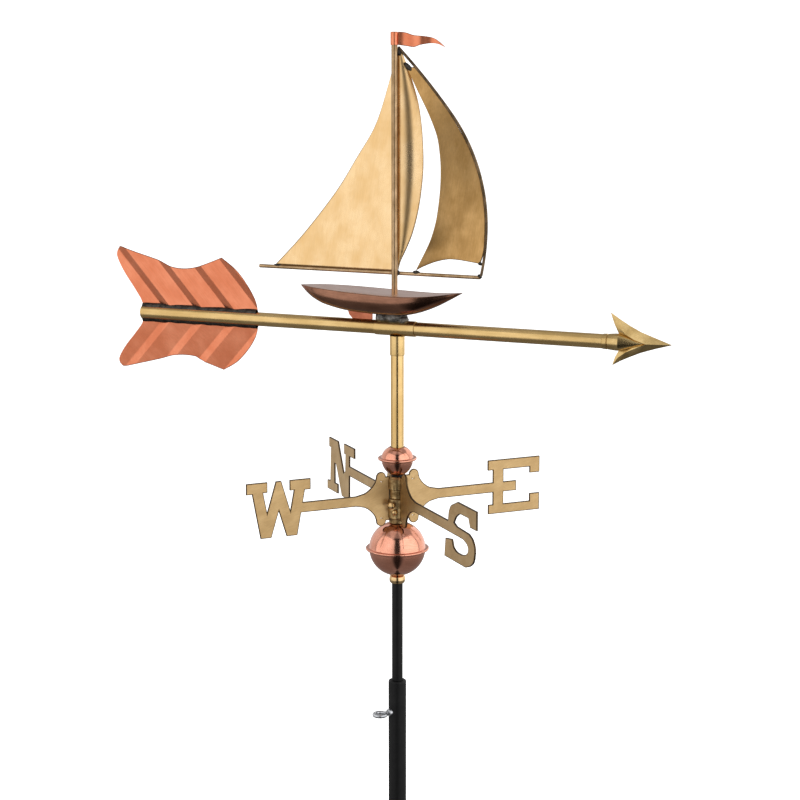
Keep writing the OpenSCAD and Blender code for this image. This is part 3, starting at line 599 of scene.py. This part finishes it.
# The dark outline on the arms stays clear of the pins that hold their roots. A pin's reach is half
# its length, dome the height of its rounded ends, and spread how far it is from the arm's middle.
compass = dict(armBevel=0.25, hubBevel=0.3, outline=0.75, pinMargin=2.5)
armPin = dict(r=1.3, at=15.5, spread=17, reach=0.95, dome=0.12)
armZ = sum(levels("arm_east")) / 2

for side in ("north", "east", "south", "west"):
    arm = copyOf("arm_" + side, 8)
    across = 1 if side in ("east", "west") else 0     # east and west arms show their faces to the south
    tag = arm.faces.layers.float.new("side")
    flats = [face for face in arm.faces if abs(face.normal[across]) > 0.9]
    border = bmesh.ops.inset_region(arm, faces=flats, thickness=compass["outline"] * mm,
                                    use_boundary=True, use_even_offset=True)["faces"]
    for face in arm.faces:
        at = face.calc_center_median() / mm
        byPin = max(abs(hypot(at.x, at.y) - armPin["at"]),
                    abs(abs(at.z - armZ) - armPin["spread"])) < compass["pinMargin"]
        face[tag] = 1 if not byPin and (abs(face.normal[across]) < 0.9 or face in border) else 0
    addPiece("arm" + side.capitalize(), arm, "cast_brass", "compass", ["arm_" + side],
             smoothAngle=40, bevel=compass["armBevel"])

addPiece("compassHub", copyOf("compass_hub", 1), "hub_brass", "compass", ["compass_hub"], smoothAngle=32,
         bevel=compass["hubBevel"], bevelAngle=40)

# Hub screws, each (head's diameter, reach from the axis, heading, drop below the arms' middle).
# shank and slot are shares of the head's size, and slotTurn is the slot's turn from upright.
hubScrew = dict(headT=2.4, shank=0.42, shankL=6, slot=0.15, slotDepth=0.7, slotTurn=35,
                each=((6.6, 15.5, -138, 5.5), (5.0, 13.5, -126, 12)))


# A round-headed screw with a sawn slot, pointing out from the axis.
def screwHead(headD, outerR, heading, height):
    headT = hubScrew["headT"]
    rim, dome = headT * 0.25, headT * 0.75
    r, foot = headD / 2, outerR - headT
    stemR, stemEnd = r * hubScrew["shank"], foot - hubScrew["shankL"]
    profile = [(0, stemEnd), (stemR, stemEnd), (stemR, foot), (r, foot), (r, foot + rim)]
    profile += [(r * cos(radians(a)), outerR - dome + dome * sin(radians(a)))
                for a in range(15, 91, 15)]
    bm = lathe(profile, steps=36)
    slotW = headD * hubScrew["slot"]
    for offset in (-slotW / 2, slotW / 2):
        bmesh.ops.bisect_plane(bm, geom=bm.verts[:] + bm.edges[:] + bm.faces[:],
                               plane_co=(offset, 0, 0), plane_no=(1, 0, 0))
    strip = [f for f in bm.faces if abs(f.calc_center_median().x) < slotW / 2
             and f.calc_center_median().z > outerR - dome * 0.98]
    cut = bmesh.ops.extrude_face_region(bm, geom=strip)["geom"]
    slotFloor = [g for g in cut if isinstance(g, bmesh.types.BMVert)]
    bmesh.ops.translate(bm, verts=slotFloor, vec=(0, 0, -hubScrew["slotDepth"]))
    bmesh.ops.delete(bm, geom=[f for f in strip if f.is_valid], context="FACES")
    return moved(turned(lengthwise(turned(bm, hubScrew["slotTurn"], "Z")), heading, "Z"), 0, 0, height)


hubScrews = [screwHead(headD, outerR, heading, armZ - drop)
             for headD, outerR, heading, drop in hubScrew["each"]]
addPiece("hubSetScrews", joined(*hubScrews), "polished_brass", "compass", ["hub_set_screws"], toGround)

pinR, pinReach = armPin["r"], armPin["reach"]
pinSide = pinReach - armPin["dome"]
pinLook = [(0, -pinReach), (pinR * 0.7, -pinSide), (pinR, -pinSide), (pinR, pinSide), (pinR * 0.7, pinSide),
           (0, pinReach)]
pins = []
for quarter in range(4):
    for dz in (-armPin["spread"], armPin["spread"]):
        pin = moved(turned(lathe(pinLook, steps=24), 90, "X"), armPin["at"], 0, armZ + dz)
        pins.append(turned(pin, 90 * quarter, "Z"))
addPiece("armPins", joined(*pins), "cast_brass", "compass", ["arm_screws"], toGround)
print("stage: compass")


# Arrow

spindleLow, spindleHigh = levels("spindle_tube")
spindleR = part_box("spindle_tube")[1].x / mm
spindle = lathe(softCorners([(boreR, spindleLow + 0.3), (boreR + 0.3, spindleLow),
                             (spindleR - 0.3, spindleLow), (spindleR, spindleLow + 0.4),
                             (spindleR, spindleHigh), (boreR, spindleHigh)], 0.2, closed=True),
                steps=96, closed=True)
addPiece("spindleTube", spindle, "spindle_brass", "vane", ["spindle_tube"], toGround)
addPiece("bearingBall", copyOf("bearing_ball", 0.1), "bearing_steel", "vane", ["bearing_ball"],
         smoothAngle=60)
addPiece("thrustPlug", copyOf("thrust_plug", 1), "tube_brass", "vane", ["thrust_plug"], smoothAngle=40)

# Tubes of the arrow, with their drawn ends slightly eased
tubeR = (tubeHigh - tubeLow) / 2
arrowTube = dict(wall=0.8, endRound=0.25)
tubeInR = tubeR - arrowTube["wall"]
for name, node in (("arrowTubeTail", "arrow_tube_tail"), ("arrowTubeHead", "arrow_tube_head")):
    low, high = vaneBox(node)
    tubeLook = softCorners([(tubeInR, low.x), (tubeR, low.x), (tubeR, high.x), (tubeInR, high.x)],
                           arrowTube["endRound"], closed=True)
    addPiece(name, lengthwise(lathe(tubeLook, steps=96, closed=True)), "tube_brass", "vane", [node], toVane)

plugLow, plugHigh = vaneBox("tail_plug")
plugR = plugHigh.z
plugLook = softCorners([(0, plugLow.x + 0.5), (plugR * 0.6, plugLow.x + 0.25), (plugR, plugLow.x),
                        (plugR, plugHigh.x), (0, plugHigh.x)], 0.4)
addPiece("tailPlug", lengthwise(lathe(plugLook, steps=48)), "solder", "vane", ["tail_plug"], toVane)

# The tee: a run over the arrow tube, and a branch over the spindle that ends inside the run's wall
tee = dict(branchR=6.75, sunk=0.4, endRound=0.5)
teeLow, teeHigh = vaneBox("tee_fitting")


def teeLeg(inner, outer, start, end):
    corners = [(inner, start), (outer, start), (outer, end), (inner, end)]
    return lathe(softCorners(corners, tee["endRound"], closed=True), steps=96, closed=True)


run = lengthwise(teeLeg(tubeR + fitGap, teeHigh.z, teeLow.x, teeHigh.x))
branch = teeLeg(spindleR + fitGap, tee["branchR"], teeLow.z, -tubeR - tee["sunk"])
addPiece("teeFitting", joined(run, branch), "tube_brass", "vane", ["tee_fitting"], toVane)

# Tail: a sheet folded in wide and narrow leaves, cut to the fletching's outline. pitch and narrow are
# measured along the tube, and border is the dark rim. lowDepth is the lower fin's depth as a share of
# the upper's, times lowFront ahead of lowSplit and lowBack behind it.
tail = dict(foldAngle=49, pitch=33.5, narrow=10, depth=3.2, root=8.4, start=-238, crease=0.5, sheet=0.7,
            border=0.7, lowDepth=0.92, lowFront=0.97, lowBack=0.93, lowSplit=-200)
finOutline = [[-256, tail["root"]]] + smoothCurve(
    [[-258, 13], [-266, 24.5], [-275, 37], [-281, 47.5], [-283, 54], [-281, 59], [-277, 60.5], [-262, 56],
     [-240, 49.5], [-224, 44], [-210, 43], [-196, 46], [-174, 54.8]], 5) + smoothCurve(
    [[-174, 54.8], [-159, 45], [-147.5, 31.5], [-140.5, 18.5], [-138.5, tail["root"]]], 5)[1:]


# The outline cut along every fold and bent into flat leaves.
def foldedFin(outline):
    turn = radians(tail["foldAngle"])
    across = Vector((sin(turn), 0, cos(turn)))
    pitch = tail["pitch"] * sin(turn)
    narrow = tail["narrow"] * sin(turn)
    start = tail["start"] * sin(turn) + tail["root"] * cos(turn)
    folds = []
    for i in range(-2, 6):
        folds += [(start + i * pitch, tail["depth"] / 2), (start + i * pitch + narrow, -tail["depth"] / 2)]
    bm = bmesh.new()
    corners = [bm.verts.new((x, 0, z)) for x, z in outline]
    bm.faces.new(corners)
    bmesh.ops.inset_region(bm, faces=bm.faces[:], thickness=tail["border"], use_boundary=True,
                           use_even_offset=True)
    for at, _ in folds:
        bmesh.ops.bisect_plane(bm, geom=bm.verts[:] + bm.edges[:] + bm.faces[:],
                               plane_co=across * at, plane_no=across)
    for v in bm.verts:
        p = v.co.dot(across)
        for (a, depthA), (b, depthB) in zip(folds, folds[1:]):
            if a <= p <= b:
                v.co.y = depthA + (depthB - depthA) * (p - a) / (b - a)
    bmesh.ops.recalc_face_normals(bm, faces=bm.faces)
    return bm


root = tail["root"]
lowOutline = [(x, root + (z - root) * tail["lowDepth"]
               * (tail["lowFront"] if x > tail["lowSplit"] else tail["lowBack"])) for x, z in finOutline]
lowFin = foldedFin(lowOutline)
lowFin.transform(Matrix.Scale(-1, 4, Vector((0, 0, 1))))
bmesh.ops.recalc_face_normals(lowFin, faces=lowFin.faces)
for name, fin, node in (("tailFinUpper", foldedFin(finOutline), "tail_fin_upper"),
                        ("tailFinLower", lowFin, "tail_fin_lower")):
    addPiece(name, fin, "fin_copper", "vane", [node], toVane, smoothAngle=8, thickness=tail["sheet"],
             bevel=tail["crease"], bevelAngle=9)

# Solder fillets along the tube under both fins, a little uneven
seam = dict(halfWidth=3.4, foot=5.0, rise=3.9, ridge=1.5, wave=0.25, waveRate=0.12)
seamLow, seamHigh = vaneBox("tail_seams")
seams = []
for up in (1, -1):
    def fillet(s, t, up=up):
        x = seamLow.x + (seamHigh.x - seamLow.x) * t
        a = pi * s
        wave = seam["wave"] * noise.noise(Vector((x * seam["waveRate"], up * 5, s)))
        y = seam["halfWidth"] * cos(a) + wave
        z = seam["foot"] + (seam["rise"] + 2 * wave) * sin(a) ** seam["ridge"]
        return Vector((x, y, up * z))
    fill = sheetOf(fillet, 12, 80)
    bmesh.ops.holes_fill(fill, edges=fill.edges, sides=0)
    bmesh.ops.recalc_face_normals(fill, faces=fill.faces)
    seams.append(fill)
addPiece("tailSeams", joined(*seams), "solder", "vane", ["tail_seams"], toVane, smoothAngle=50)

# Head: a turned socket with a ring groove, and the swept blades
neckLow, neckHigh = vaneBox("arrowhead_socket")
neckStart = neckLow.x
neck = lengthwise(lathe(softCorners(
    [(0, neckStart + 1.5), (4.5, neckStart + 1.5), (4.5, neckStart), (6.7, neckStart), (6.9, neckStart + 3.9),
     (6.2, neckStart + 4.2), (6.2, neckStart + 4.6), (6.9, neckStart + 5), (7.5, neckStart + 11.5),
     (7.4, neckStart + 14.5), (0.6, neckHigh.x), (0, neckHigh.x)], 0.25), steps=72))
addPiece("arrowheadSocket", neck, "head_bronze", "vane", ["arrowhead_socket"], toVane, smoothAngle=40)
addPiece("arrowhead", copyOf("arrowhead", 1), "head_bronze", "vane", ["arrowhead"], smoothAngle=33,
         bevel=0.3, bevelAngle=34)
print("stage: arrow")


# Boat

# Half-beam, deck height and keel height along the hull, stern to bow. endGap keeps the skin's ends
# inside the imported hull.
hull = dict(wall=0.9, fullness=0.72, stations=110, round=40, endGap=0.15,
            beam=[(-94, 0.3), (-86, 6.5), (-75, 12.5), (-60, 17), (-45, 19.6), (-25, 20.9), (-8, 21),
                  (8, 19.6), (22, 16.6), (35, 12.4), (48, 7), (57, 2.6), (62, 0.3)],
            sheer=[(-94, 34.6), (-70, 34), (-45, 33), (-20, 32), (0, 31.3), (15, 31.2), (35, 32), (62, 35)],
            keel=[(-94, 34), (-90, 30.4), (-85, 26.6), (-80, 23.4), (-70, 19), (-60, 16.5), (-50, 14.6),
                  (-40, 13.4), (-20, 12.2), (0, 12), (10, 12.6), (20, 14.6), (30, 18), (40, 22.4),
                  (50, 27.8), (62, 34.6)])
hullLow, hullHigh = vaneBox("hull_shell")
mastLow, mastHigh = vaneBox("mast")
mastX = (mastLow.x + mastHigh.x) / 2
mastR = (mastHigh.x - mastLow.x) / 2
boomLow, boomHigh = vaneBox("boom")
boomZ = (boomLow.z + boomHigh.z) / 2
rigY = (boomLow.y + boomHigh.y) / 2
boomR = (boomHigh.z - boomLow.z) / 2


# Point of the hull's skin at x, at angle a from the keel, negative to one side.
def hullPoint(x, a):
    beam = max(tableAt(hull["beam"], x), 0.04)
    top = tableAt(hull["sheer"], x)
    low = min(tableAt(hull["keel"], x), top - 0.1)
    swell = hull["fullness"]
    y = beam * abs(sin(a)) ** swell * (1 if a > 0 else -1)
    return Vector((x, y, top - (top - low) * cos(a) ** swell))


def hullSkin(s, t):
    x = hullLow.x + hull["endGap"] + (hullHigh.x - hullLow.x - 2 * hull["endGap"]) * t
    a = radians(-90 + 180 * s)
    return hullPoint(x, max(min(a, radians(89.99)), radians(-89.99)))


skin = sheetOf(hullSkin, hull["round"] * 2, hull["stations"])
bmesh.ops.remove_doubles(skin, verts=skin.verts, dist=0.02)
bmesh.ops.recalc_face_normals(skin, faces=skin.faces)
middle = min(skin.faces, key=lambda f: (f.calc_center_median() - Vector((0, 0, 12))).length)
if middle.normal.z > 0:
    bmesh.ops.reverse_faces(skin, faces=skin.faces)
hullPiece = addPiece("hullShell", skin, "hull_copper", "vane", ["hull_shell"], toVane, smoothAngle=60,
                     thickness=hull["wall"])
hullPiece.modifiers["thickness"].offset = -1

# Deck: let down into the hull, inside its skin, and stopped short of both ends
deck = dict(sheet=0.8, sunk=0.1, stern=2.6, bow=2.4)
deckIn = hull["wall"] + fitGap


def deckTop(s, t):
    x = hullLow.x + deck["stern"] + (hullHigh.x - hullLow.x - (deck["stern"] + deck["bow"])) * t
    half = max(tableAt(hull["beam"], x) - deckIn, 0.1)
    return Vector((x, half * (2 * s - 1), tableAt(hull["sheer"], x) - deck["sheet"] / 2 - deck["sunk"]))


addSheet("deckPlate", deckTop, 24, 90, "deck_copper", "deck_plate", deck["sheet"], 40)
# The keel fin takes the fin copper darkened as painted shade
addPiece("keelFin", copyOf("keel_fin", 1), "keel_fin_copper_painted_shade", "vane", ["keel_fin"], smoothAngle=35, bevel=0.35)

# Solder under the hull: one long lump on the tee and a smaller one at each end. Each is (place,
# half sizes, with the one across as a share of the saddle's, seed, unevenness).
saddleY = vaneBox("hull_saddle")[1].y
saddle = [((-2, 0, 9.6), (13.2, 0.97, 6.2), 3, 0.09), ((-14, 0, 9), (7.4, 0.8, 5.6), 7, 0.12),
          ((6, -1, 8), (5.6, 0.78, 4.8), 11, 0.14)]
lumps = [lump(place, (along, saddleY * across, deep), seed, unevenness)
         for place, (along, across, deep), seed, unevenness in saddle]
addPiece("hullSaddle", joined(*lumps), "lump_solder", "vane", ["hull_saddle"], toVane, smoothAngle=80)

# Mast and boom, cut from rod and eased at the ends
mastLook = softCorners([(0, mastLow.z), (mastR, mastLow.z), (mastR, mastHigh.z), (0, mastHigh.z)], 0.6)
mast = moved(lathe(mastLook, steps=64), mastX, 0, 0)
addPiece("mast", mast, "rig_brass", "vane", ["mast"], toVane)
boomLook = softCorners([(0, boomLow.x), (boomR, boomLow.x), (boomR, boomHigh.x), (0, boomHigh.x)], 0.5)
boom = moved(lengthwise(lathe(boomLook, steps=48)), 0, rigY, boomZ)
addPiece("boom", boom, "rig_brass", "vane", ["boom"], toVane)

# Forestay: a wire bent through three easy arcs, each (radius, angle), from the masthead down
stay = dict(wireD=2.6, head=(-0.8, 248.5), bends=((580, 7.5), (160, 37.5), (206, 12.2)))


def stayPath():
    x, z = stay["head"]
    dip = radians(-45)
    points = [Vector((x, rigY, z))]
    for radius, sweepAngle in stay["bends"]:
        steps = max(int(sweepAngle), 6)
        for k in range(steps):
            turn = radians(sweepAngle / steps)
            chord = 2 * radius * sin(turn / 2)
            dip -= turn / 2
            x += chord * cos(dip)
            z += chord * sin(dip)
            dip -= turn / 2
            points.append(Vector((x, rigY, z)))
    return points


wire = stayPath()
addPiece("forestay", sweep(wire, stay["wireD"] / 2, sides=24), "stay_brass", "vane", ["forestay"], toVane,
         smoothAngle=50)

# Main sail: a flat sheet behind the mast that curls away past it. curl is the bend's radius as a
# share of how far the free edge reaches, and curlTurn the steepest it gets, in degrees.
sailFoot = boomZ + boomR
mainSail = dict(curl=1.3, curlTurn=32, sheet=0.8, top=245.6,
                leech=[[-121.6, 0], [-92.5, 81], [-61, 119.5], [-41, 150], [-21.6, 182], [-7, 226],
                       [-1.5, 246.5]],
                luff=[[-1, 0], [1.5, 60], [6.2, 71], [11, 84], [15.2, 101], [18.3, 121], [20.1, 145],
                      [19.2, 173], [16.4, 197], [12.4, 214], [7.5, 230], [2, 245]])
for edge in ("leech", "luff"):
    mainSail[edge][0][1] = sailFoot
leech = smoothCurve(mainSail["leech"], 10)
luff = smoothCurve(mainSail["luff"], 10)


def mainPoint(s, t):
    z = sailFoot + (mainSail["top"] - sailFoot) * t
    after, reach = crossing(leech, z, 1, 0), crossing(luff, z, 1, 0)
    x = after + (reach - after) * s
    y = rigY
    if x > 0:
        turn = radians(mainSail["curlTurn"])
        radius = mainSail["curl"] * reach            # the roll follows the free edge
        bent = asin(min(x / radius, sin(turn)))
        y += radius * (1 - cos(bent)) + (x - radius * sin(bent)) * tan(turn)
    return Vector((x, y, z))


addSheet("mainSail", mainPoint, 70, 110, "sail_brass", "mainsail", mainSail["sheet"])

# Head sail: its luff hangs along the stay and its free edge stands out to the other side
headSail = dict(out=8, sheet=0.8, footGap=1.6,
                leech=[[16, 0], [25.9, 70], [32.4, 83], [37.8, 100], [41.2, 122], [42.2, 140], [41.2, 156],
                       [37.8, 173], [29.2, 192], [18.9, 210], [7.5, 231]],
                luff=[[76.8, 61], [80.4, 73], [81.2, 90], [80.8, 106], [78.1, 126], [73.2, 144], [65.3, 163],
                      [54.9, 181], [42.8, 198], [27.9, 216], [14.4, 231.5]],
                foot=[[16, 0], [23, 56], [34, 60.6], [46, 63.6], [56, 63.6], [66, 62.5], [76.8, 61]])
for edge in ("leech", "foot"):
    headSail[edge][0][1] = sailFoot + headSail["footGap"]
jibLeech, jibLuff, jibFoot = [smoothCurve(headSail[edge], 10) for edge in ("leech", "luff", "foot")]


def jibPoint(s, t):
    left, right, foot = alongCurve(jibLeech, t), alongCurve(jibLuff, t), alongCurve(jibFoot, s)
    flat = [(1 - s) * a + s * b for a, b in zip(jibLeech[0], jibLuff[0])]
    x, z = [(1 - s) * a + s * b + (1 - t) ** 3 * (f - g) for a, b, f, g in zip(left, right, foot, flat)]
    return Vector((x, rigY - headSail["out"] * sin(pi * t) * (1 - s), z))


addSheet("headSail", jibPoint, 40, 110, "jib_brass", "jib", headSail["sheet"])

# Pennant and its sleeve on the masthead
sleeveLow, sleeveHigh = vaneBox("pennant_sleeve")
sleeveR = (sleeveHigh.x - sleeveLow.x) / 2
capZ, capR = mastHigh.z + 0.1, mastR + fitGap      # the hollow over the mast's top
sleeveLook = softCorners([(0, sleeveHigh.z - 0.2), (sleeveR - 0.9, sleeveHigh.z),
                          (sleeveR, sleeveHigh.z - 0.5), (sleeveR, sleeveLow.z), (capR, sleeveLow.z),
                          (capR, capZ), (0, capZ)], 0.3)
addPiece("pennantSleeve", moved(lathe(sleeveLook, steps=48), mastX, 0, 0), "fin_copper", "vane",
         ["pennant_sleeve"], toVane)

flag = dict(wave=1.8, length=26, phase=0.35, sheet=0.7,
            top=[[0.5, 262], [7, 261.4], [15, 259.4], [25, 258.6], [33, 257], [40, 253.4], [45, 249.8]],
            bottom=[[0.5, 250.5], [8, 249.6], [16, 248.9], [22, 250.8], [30, 252.2], [38, 251.8],
                    [45, 249.4]])
flagStart, flagEnd = mastX + sleeveR - 0.05, flag["top"][-1][0]
for edge in ("top", "bottom"):
    flag[edge][0][0] = flagStart
flagTop, flagBottom = smoothCurve(flag["top"], 10), smoothCurve(flag["bottom"], 10)


def flagPoint(s, t):
    x = flagStart + (flagEnd - flagStart) * s
    sway = flag["wave"] * sin((x - flagStart + flag["phase"]) * 2 * pi / flag["length"])
    under, over = crossing(flagBottom, x, 0, 1), crossing(flagTop, x, 0, 1)
    return Vector((x, sway, under + (over - under) * t))


addSheet("pennant", flagPoint, 90, 16, "fin_copper", "pennant", flag["sheet"])

# Solder at the rig's joints, each (place, half sizes, lean below the level, seed)
rigSolder = [((mastX + 1.6, 3.6, 244.6), (4.6, 2.6, 3.2), 50, 2),       # masthead
             ((8.8, rigY - 0.4, 231.6), (5.6, 1.7, 2.3), 46, 18),       # head of the head sail
             ((mastX, 3.2, boomZ + 0.4), (4.4, 3.6, 3.4), 0, 5),        # boom on the mast
             ((16.5, rigY, boomZ + 1.4), (4.2, 2.1, 2.1), 0, 8),        # foot of the head sail
             ((76.2, rigY, boomZ + 0.8), (2.6, 2.0, 2.4), 70, 12),      # stay on the boom
             ((76.6, rigY, 61.2), (2.3, 1.4, 1.8), 20, 15),             # head sail's fore corner
             ((-119.2, rigY, boomZ + 1.3), (4.2, 2.0, 1.7), 0, 22)]     # after corner of the main sail
blobs = []
for centre, sizes, lean, seed in rigSolder:
    blob = lump((0, 0, 0), sizes, seed, 0.12, 3)
    blob.transform(Matrix.Translation(centre) @ Matrix.Rotation(radians(lean), 4, "Y"))
    blobs.append(blob)
addPiece("rigJoints", joined(*blobs), "solder", "vane", ["rig_joints"], toVane, smoothAngle=80)
print("stage: boat")


# Floor, light and camera

# The floor glows evenly and nothing reflects it, so the metal stays dark underneath
ground = dict(size=120, drop=0.001, tone=0.9, roughness=0.9, glow=1.0)
floorBm = bmesh.new()
bmesh.ops.create_grid(floorBm, x_segments=24, y_segments=24, size=ground["size"])
floorMesh = bpy.data.meshes.new("floor")
floorBm.to_mesh(floorMesh)
floorBm.free()
floor = bpy.data.objects.new("floor", floorMesh)
bpy.context.scene.collection.objects.link(floor)
floor.location.z = cadSize[0][2] - ground["drop"]
paper = bpy.data.materials.new("pale_floor")
paper.use_nodes = True
paperShader = paper.node_tree.nodes["Principled BSDF"]
for socket, value in (("Base Color", (ground["tone"],) * 3 + (1,)), ("Roughness", ground["roughness"]),
                      ("Emission Color", (1, 1, 1, 1)), ("Emission Strength", ground["glow"])):
    paperShader.inputs[socket].default_value = value
floorMesh.materials.append(paper)
floor.visible_glossy = False
floor.visible_diffuse = False
floor.visible_shadow = False

# Tall soft lights to the left and right of the view, weaker ones behind, and one overhead. Each
# upright light is (turn from the view, distance, width, height, power, lift above the middle), and
# the overhead one is (size, lift, power). sky and ground are the room's brightness above and below
# the horizon, and ahead its share in the dark gap between the front lights.
studio = dict(viewHeading=66.5, middleZ=0.55,
              sides=((-54, 1.9, 3.4, 3.3, 31.5, 0.8), (54, 1.9, 3.4, 3.3, 43, 0.8),
                     (-132, 2.2, 2.6, 2.8, 9, 0.6), (132, 2.2, 2.6, 2.8, 19, 0.6)),
              overhead=(2.2, 2.4, 4), overheadAt=(-0.2, -0.4), sky=0.48, ground=0.23, ahead=0.06)
middleZ = studio["middleZ"]


def softLight(name, place, aim, width, height, power):
    light = bpy.data.lights.new(name, "AREA")
    light.shape = "RECTANGLE"
    light.size, light.size_y = width, height
    light.energy = power
    lamp = bpy.data.objects.new(name, light)
    bpy.context.scene.collection.objects.link(lamp)
    lamp.location = place
    lamp.rotation_euler = (Vector(aim) - Vector(place)).to_track_quat("-Z", "Y").to_euler()


for number, (turn, far, width, height, power, lift) in enumerate(studio["sides"]):
    heading = radians(studio["viewHeading"] + 180 + turn)
    place = (far * cos(heading), far * sin(heading), middleZ + lift)
    softLight("sideLight" + str(number + 1), place, (0, 0, place[2]), width, height, power)
size, above, power = studio["overhead"]
softLight("overheadLight", (*studio["overheadAt"], middleZ + above), (0, 0, middleZ), size, size, power)

world = bpy.data.worlds.new("studio")
world.use_nodes = True
bpy.context.scene.world = world
sky = world.node_tree.nodes["Background"]
sky.inputs["Color"].default_value = (1, 1, 1, 1)
tree = world.node_tree
toCamera = radians(studio["viewHeading"] + 180)
rays = tree.nodes.new("ShaderNodeLightPath")
facing = tree.nodes.new("ShaderNodeTexCoord").outputs["Generated"]
split = tree.nodes.new("ShaderNodeSeparateXYZ")
tree.links.new(facing, split.inputs["Vector"])
# dim below the horizon and brighter above it
rise = ranged(tree, split.outputs["Z"], -0.8, 0.12, studio["ground"], studio["sky"])


def vectorMath(kind, first, second, output="Vector"):
    node = tree.nodes.new("ShaderNodeVectorMath")
    node.operation = kind
    tree.links.new(first, node.inputs[0])
    if second:
        node.inputs[1].default_value = second
    return node.outputs[output]


# dark at every height in the gap between the front lights
level = vectorMath("NORMALIZE", vectorMath("MULTIPLY", facing, (1, 1, 0)), None)
ahead = vectorMath("DOT_PRODUCT", level, (cos(toCamera), sin(toCamera), 0), "Value")
fade = ranged(tree, ahead, 0.88, 0.98, 1, studio["ahead"], "LINEAR")
glow = tree.nodes.new("ShaderNodeMath")
glow.operation = "MULTIPLY"
tree.links.new(rise, glow.inputs[0])
tree.links.new(fade, glow.inputs[1])
seen = tree.nodes.new("ShaderNodeMix")            # plain white where the view looks past the floor
seen.inputs[3].default_value = 1.0
tree.links.new(rays.outputs["Is Camera Ray"], seen.inputs[0])
tree.links.new(glow.outputs["Value"], seen.inputs[2])
tree.links.new(seen.outputs[0], sky.inputs["Strength"])

# Place in metres, and tilt below the level and turn from north in degrees
viewpoint = dict(place=(-0.7702, -1.7775, 0.949), tilt=11.234, turn=23.5, lens=98.55, sensor=36, far=400)
scene = bpy.context.scene
scene.view_settings.view_transform = "Standard"
camera = bpy.data.cameras.new("camera")
camera.lens = viewpoint["lens"]
camera.sensor_width = viewpoint["sensor"]
camera.clip_end = viewpoint["far"]
view = bpy.data.objects.new("camera", camera)
scene.collection.objects.link(view)
view.location = viewpoint["place"]
view.rotation_euler = (radians(90 - viewpoint["tilt"]), 0, radians(-viewpoint["turn"]))
scene.camera = view

print("stage: light and camera")
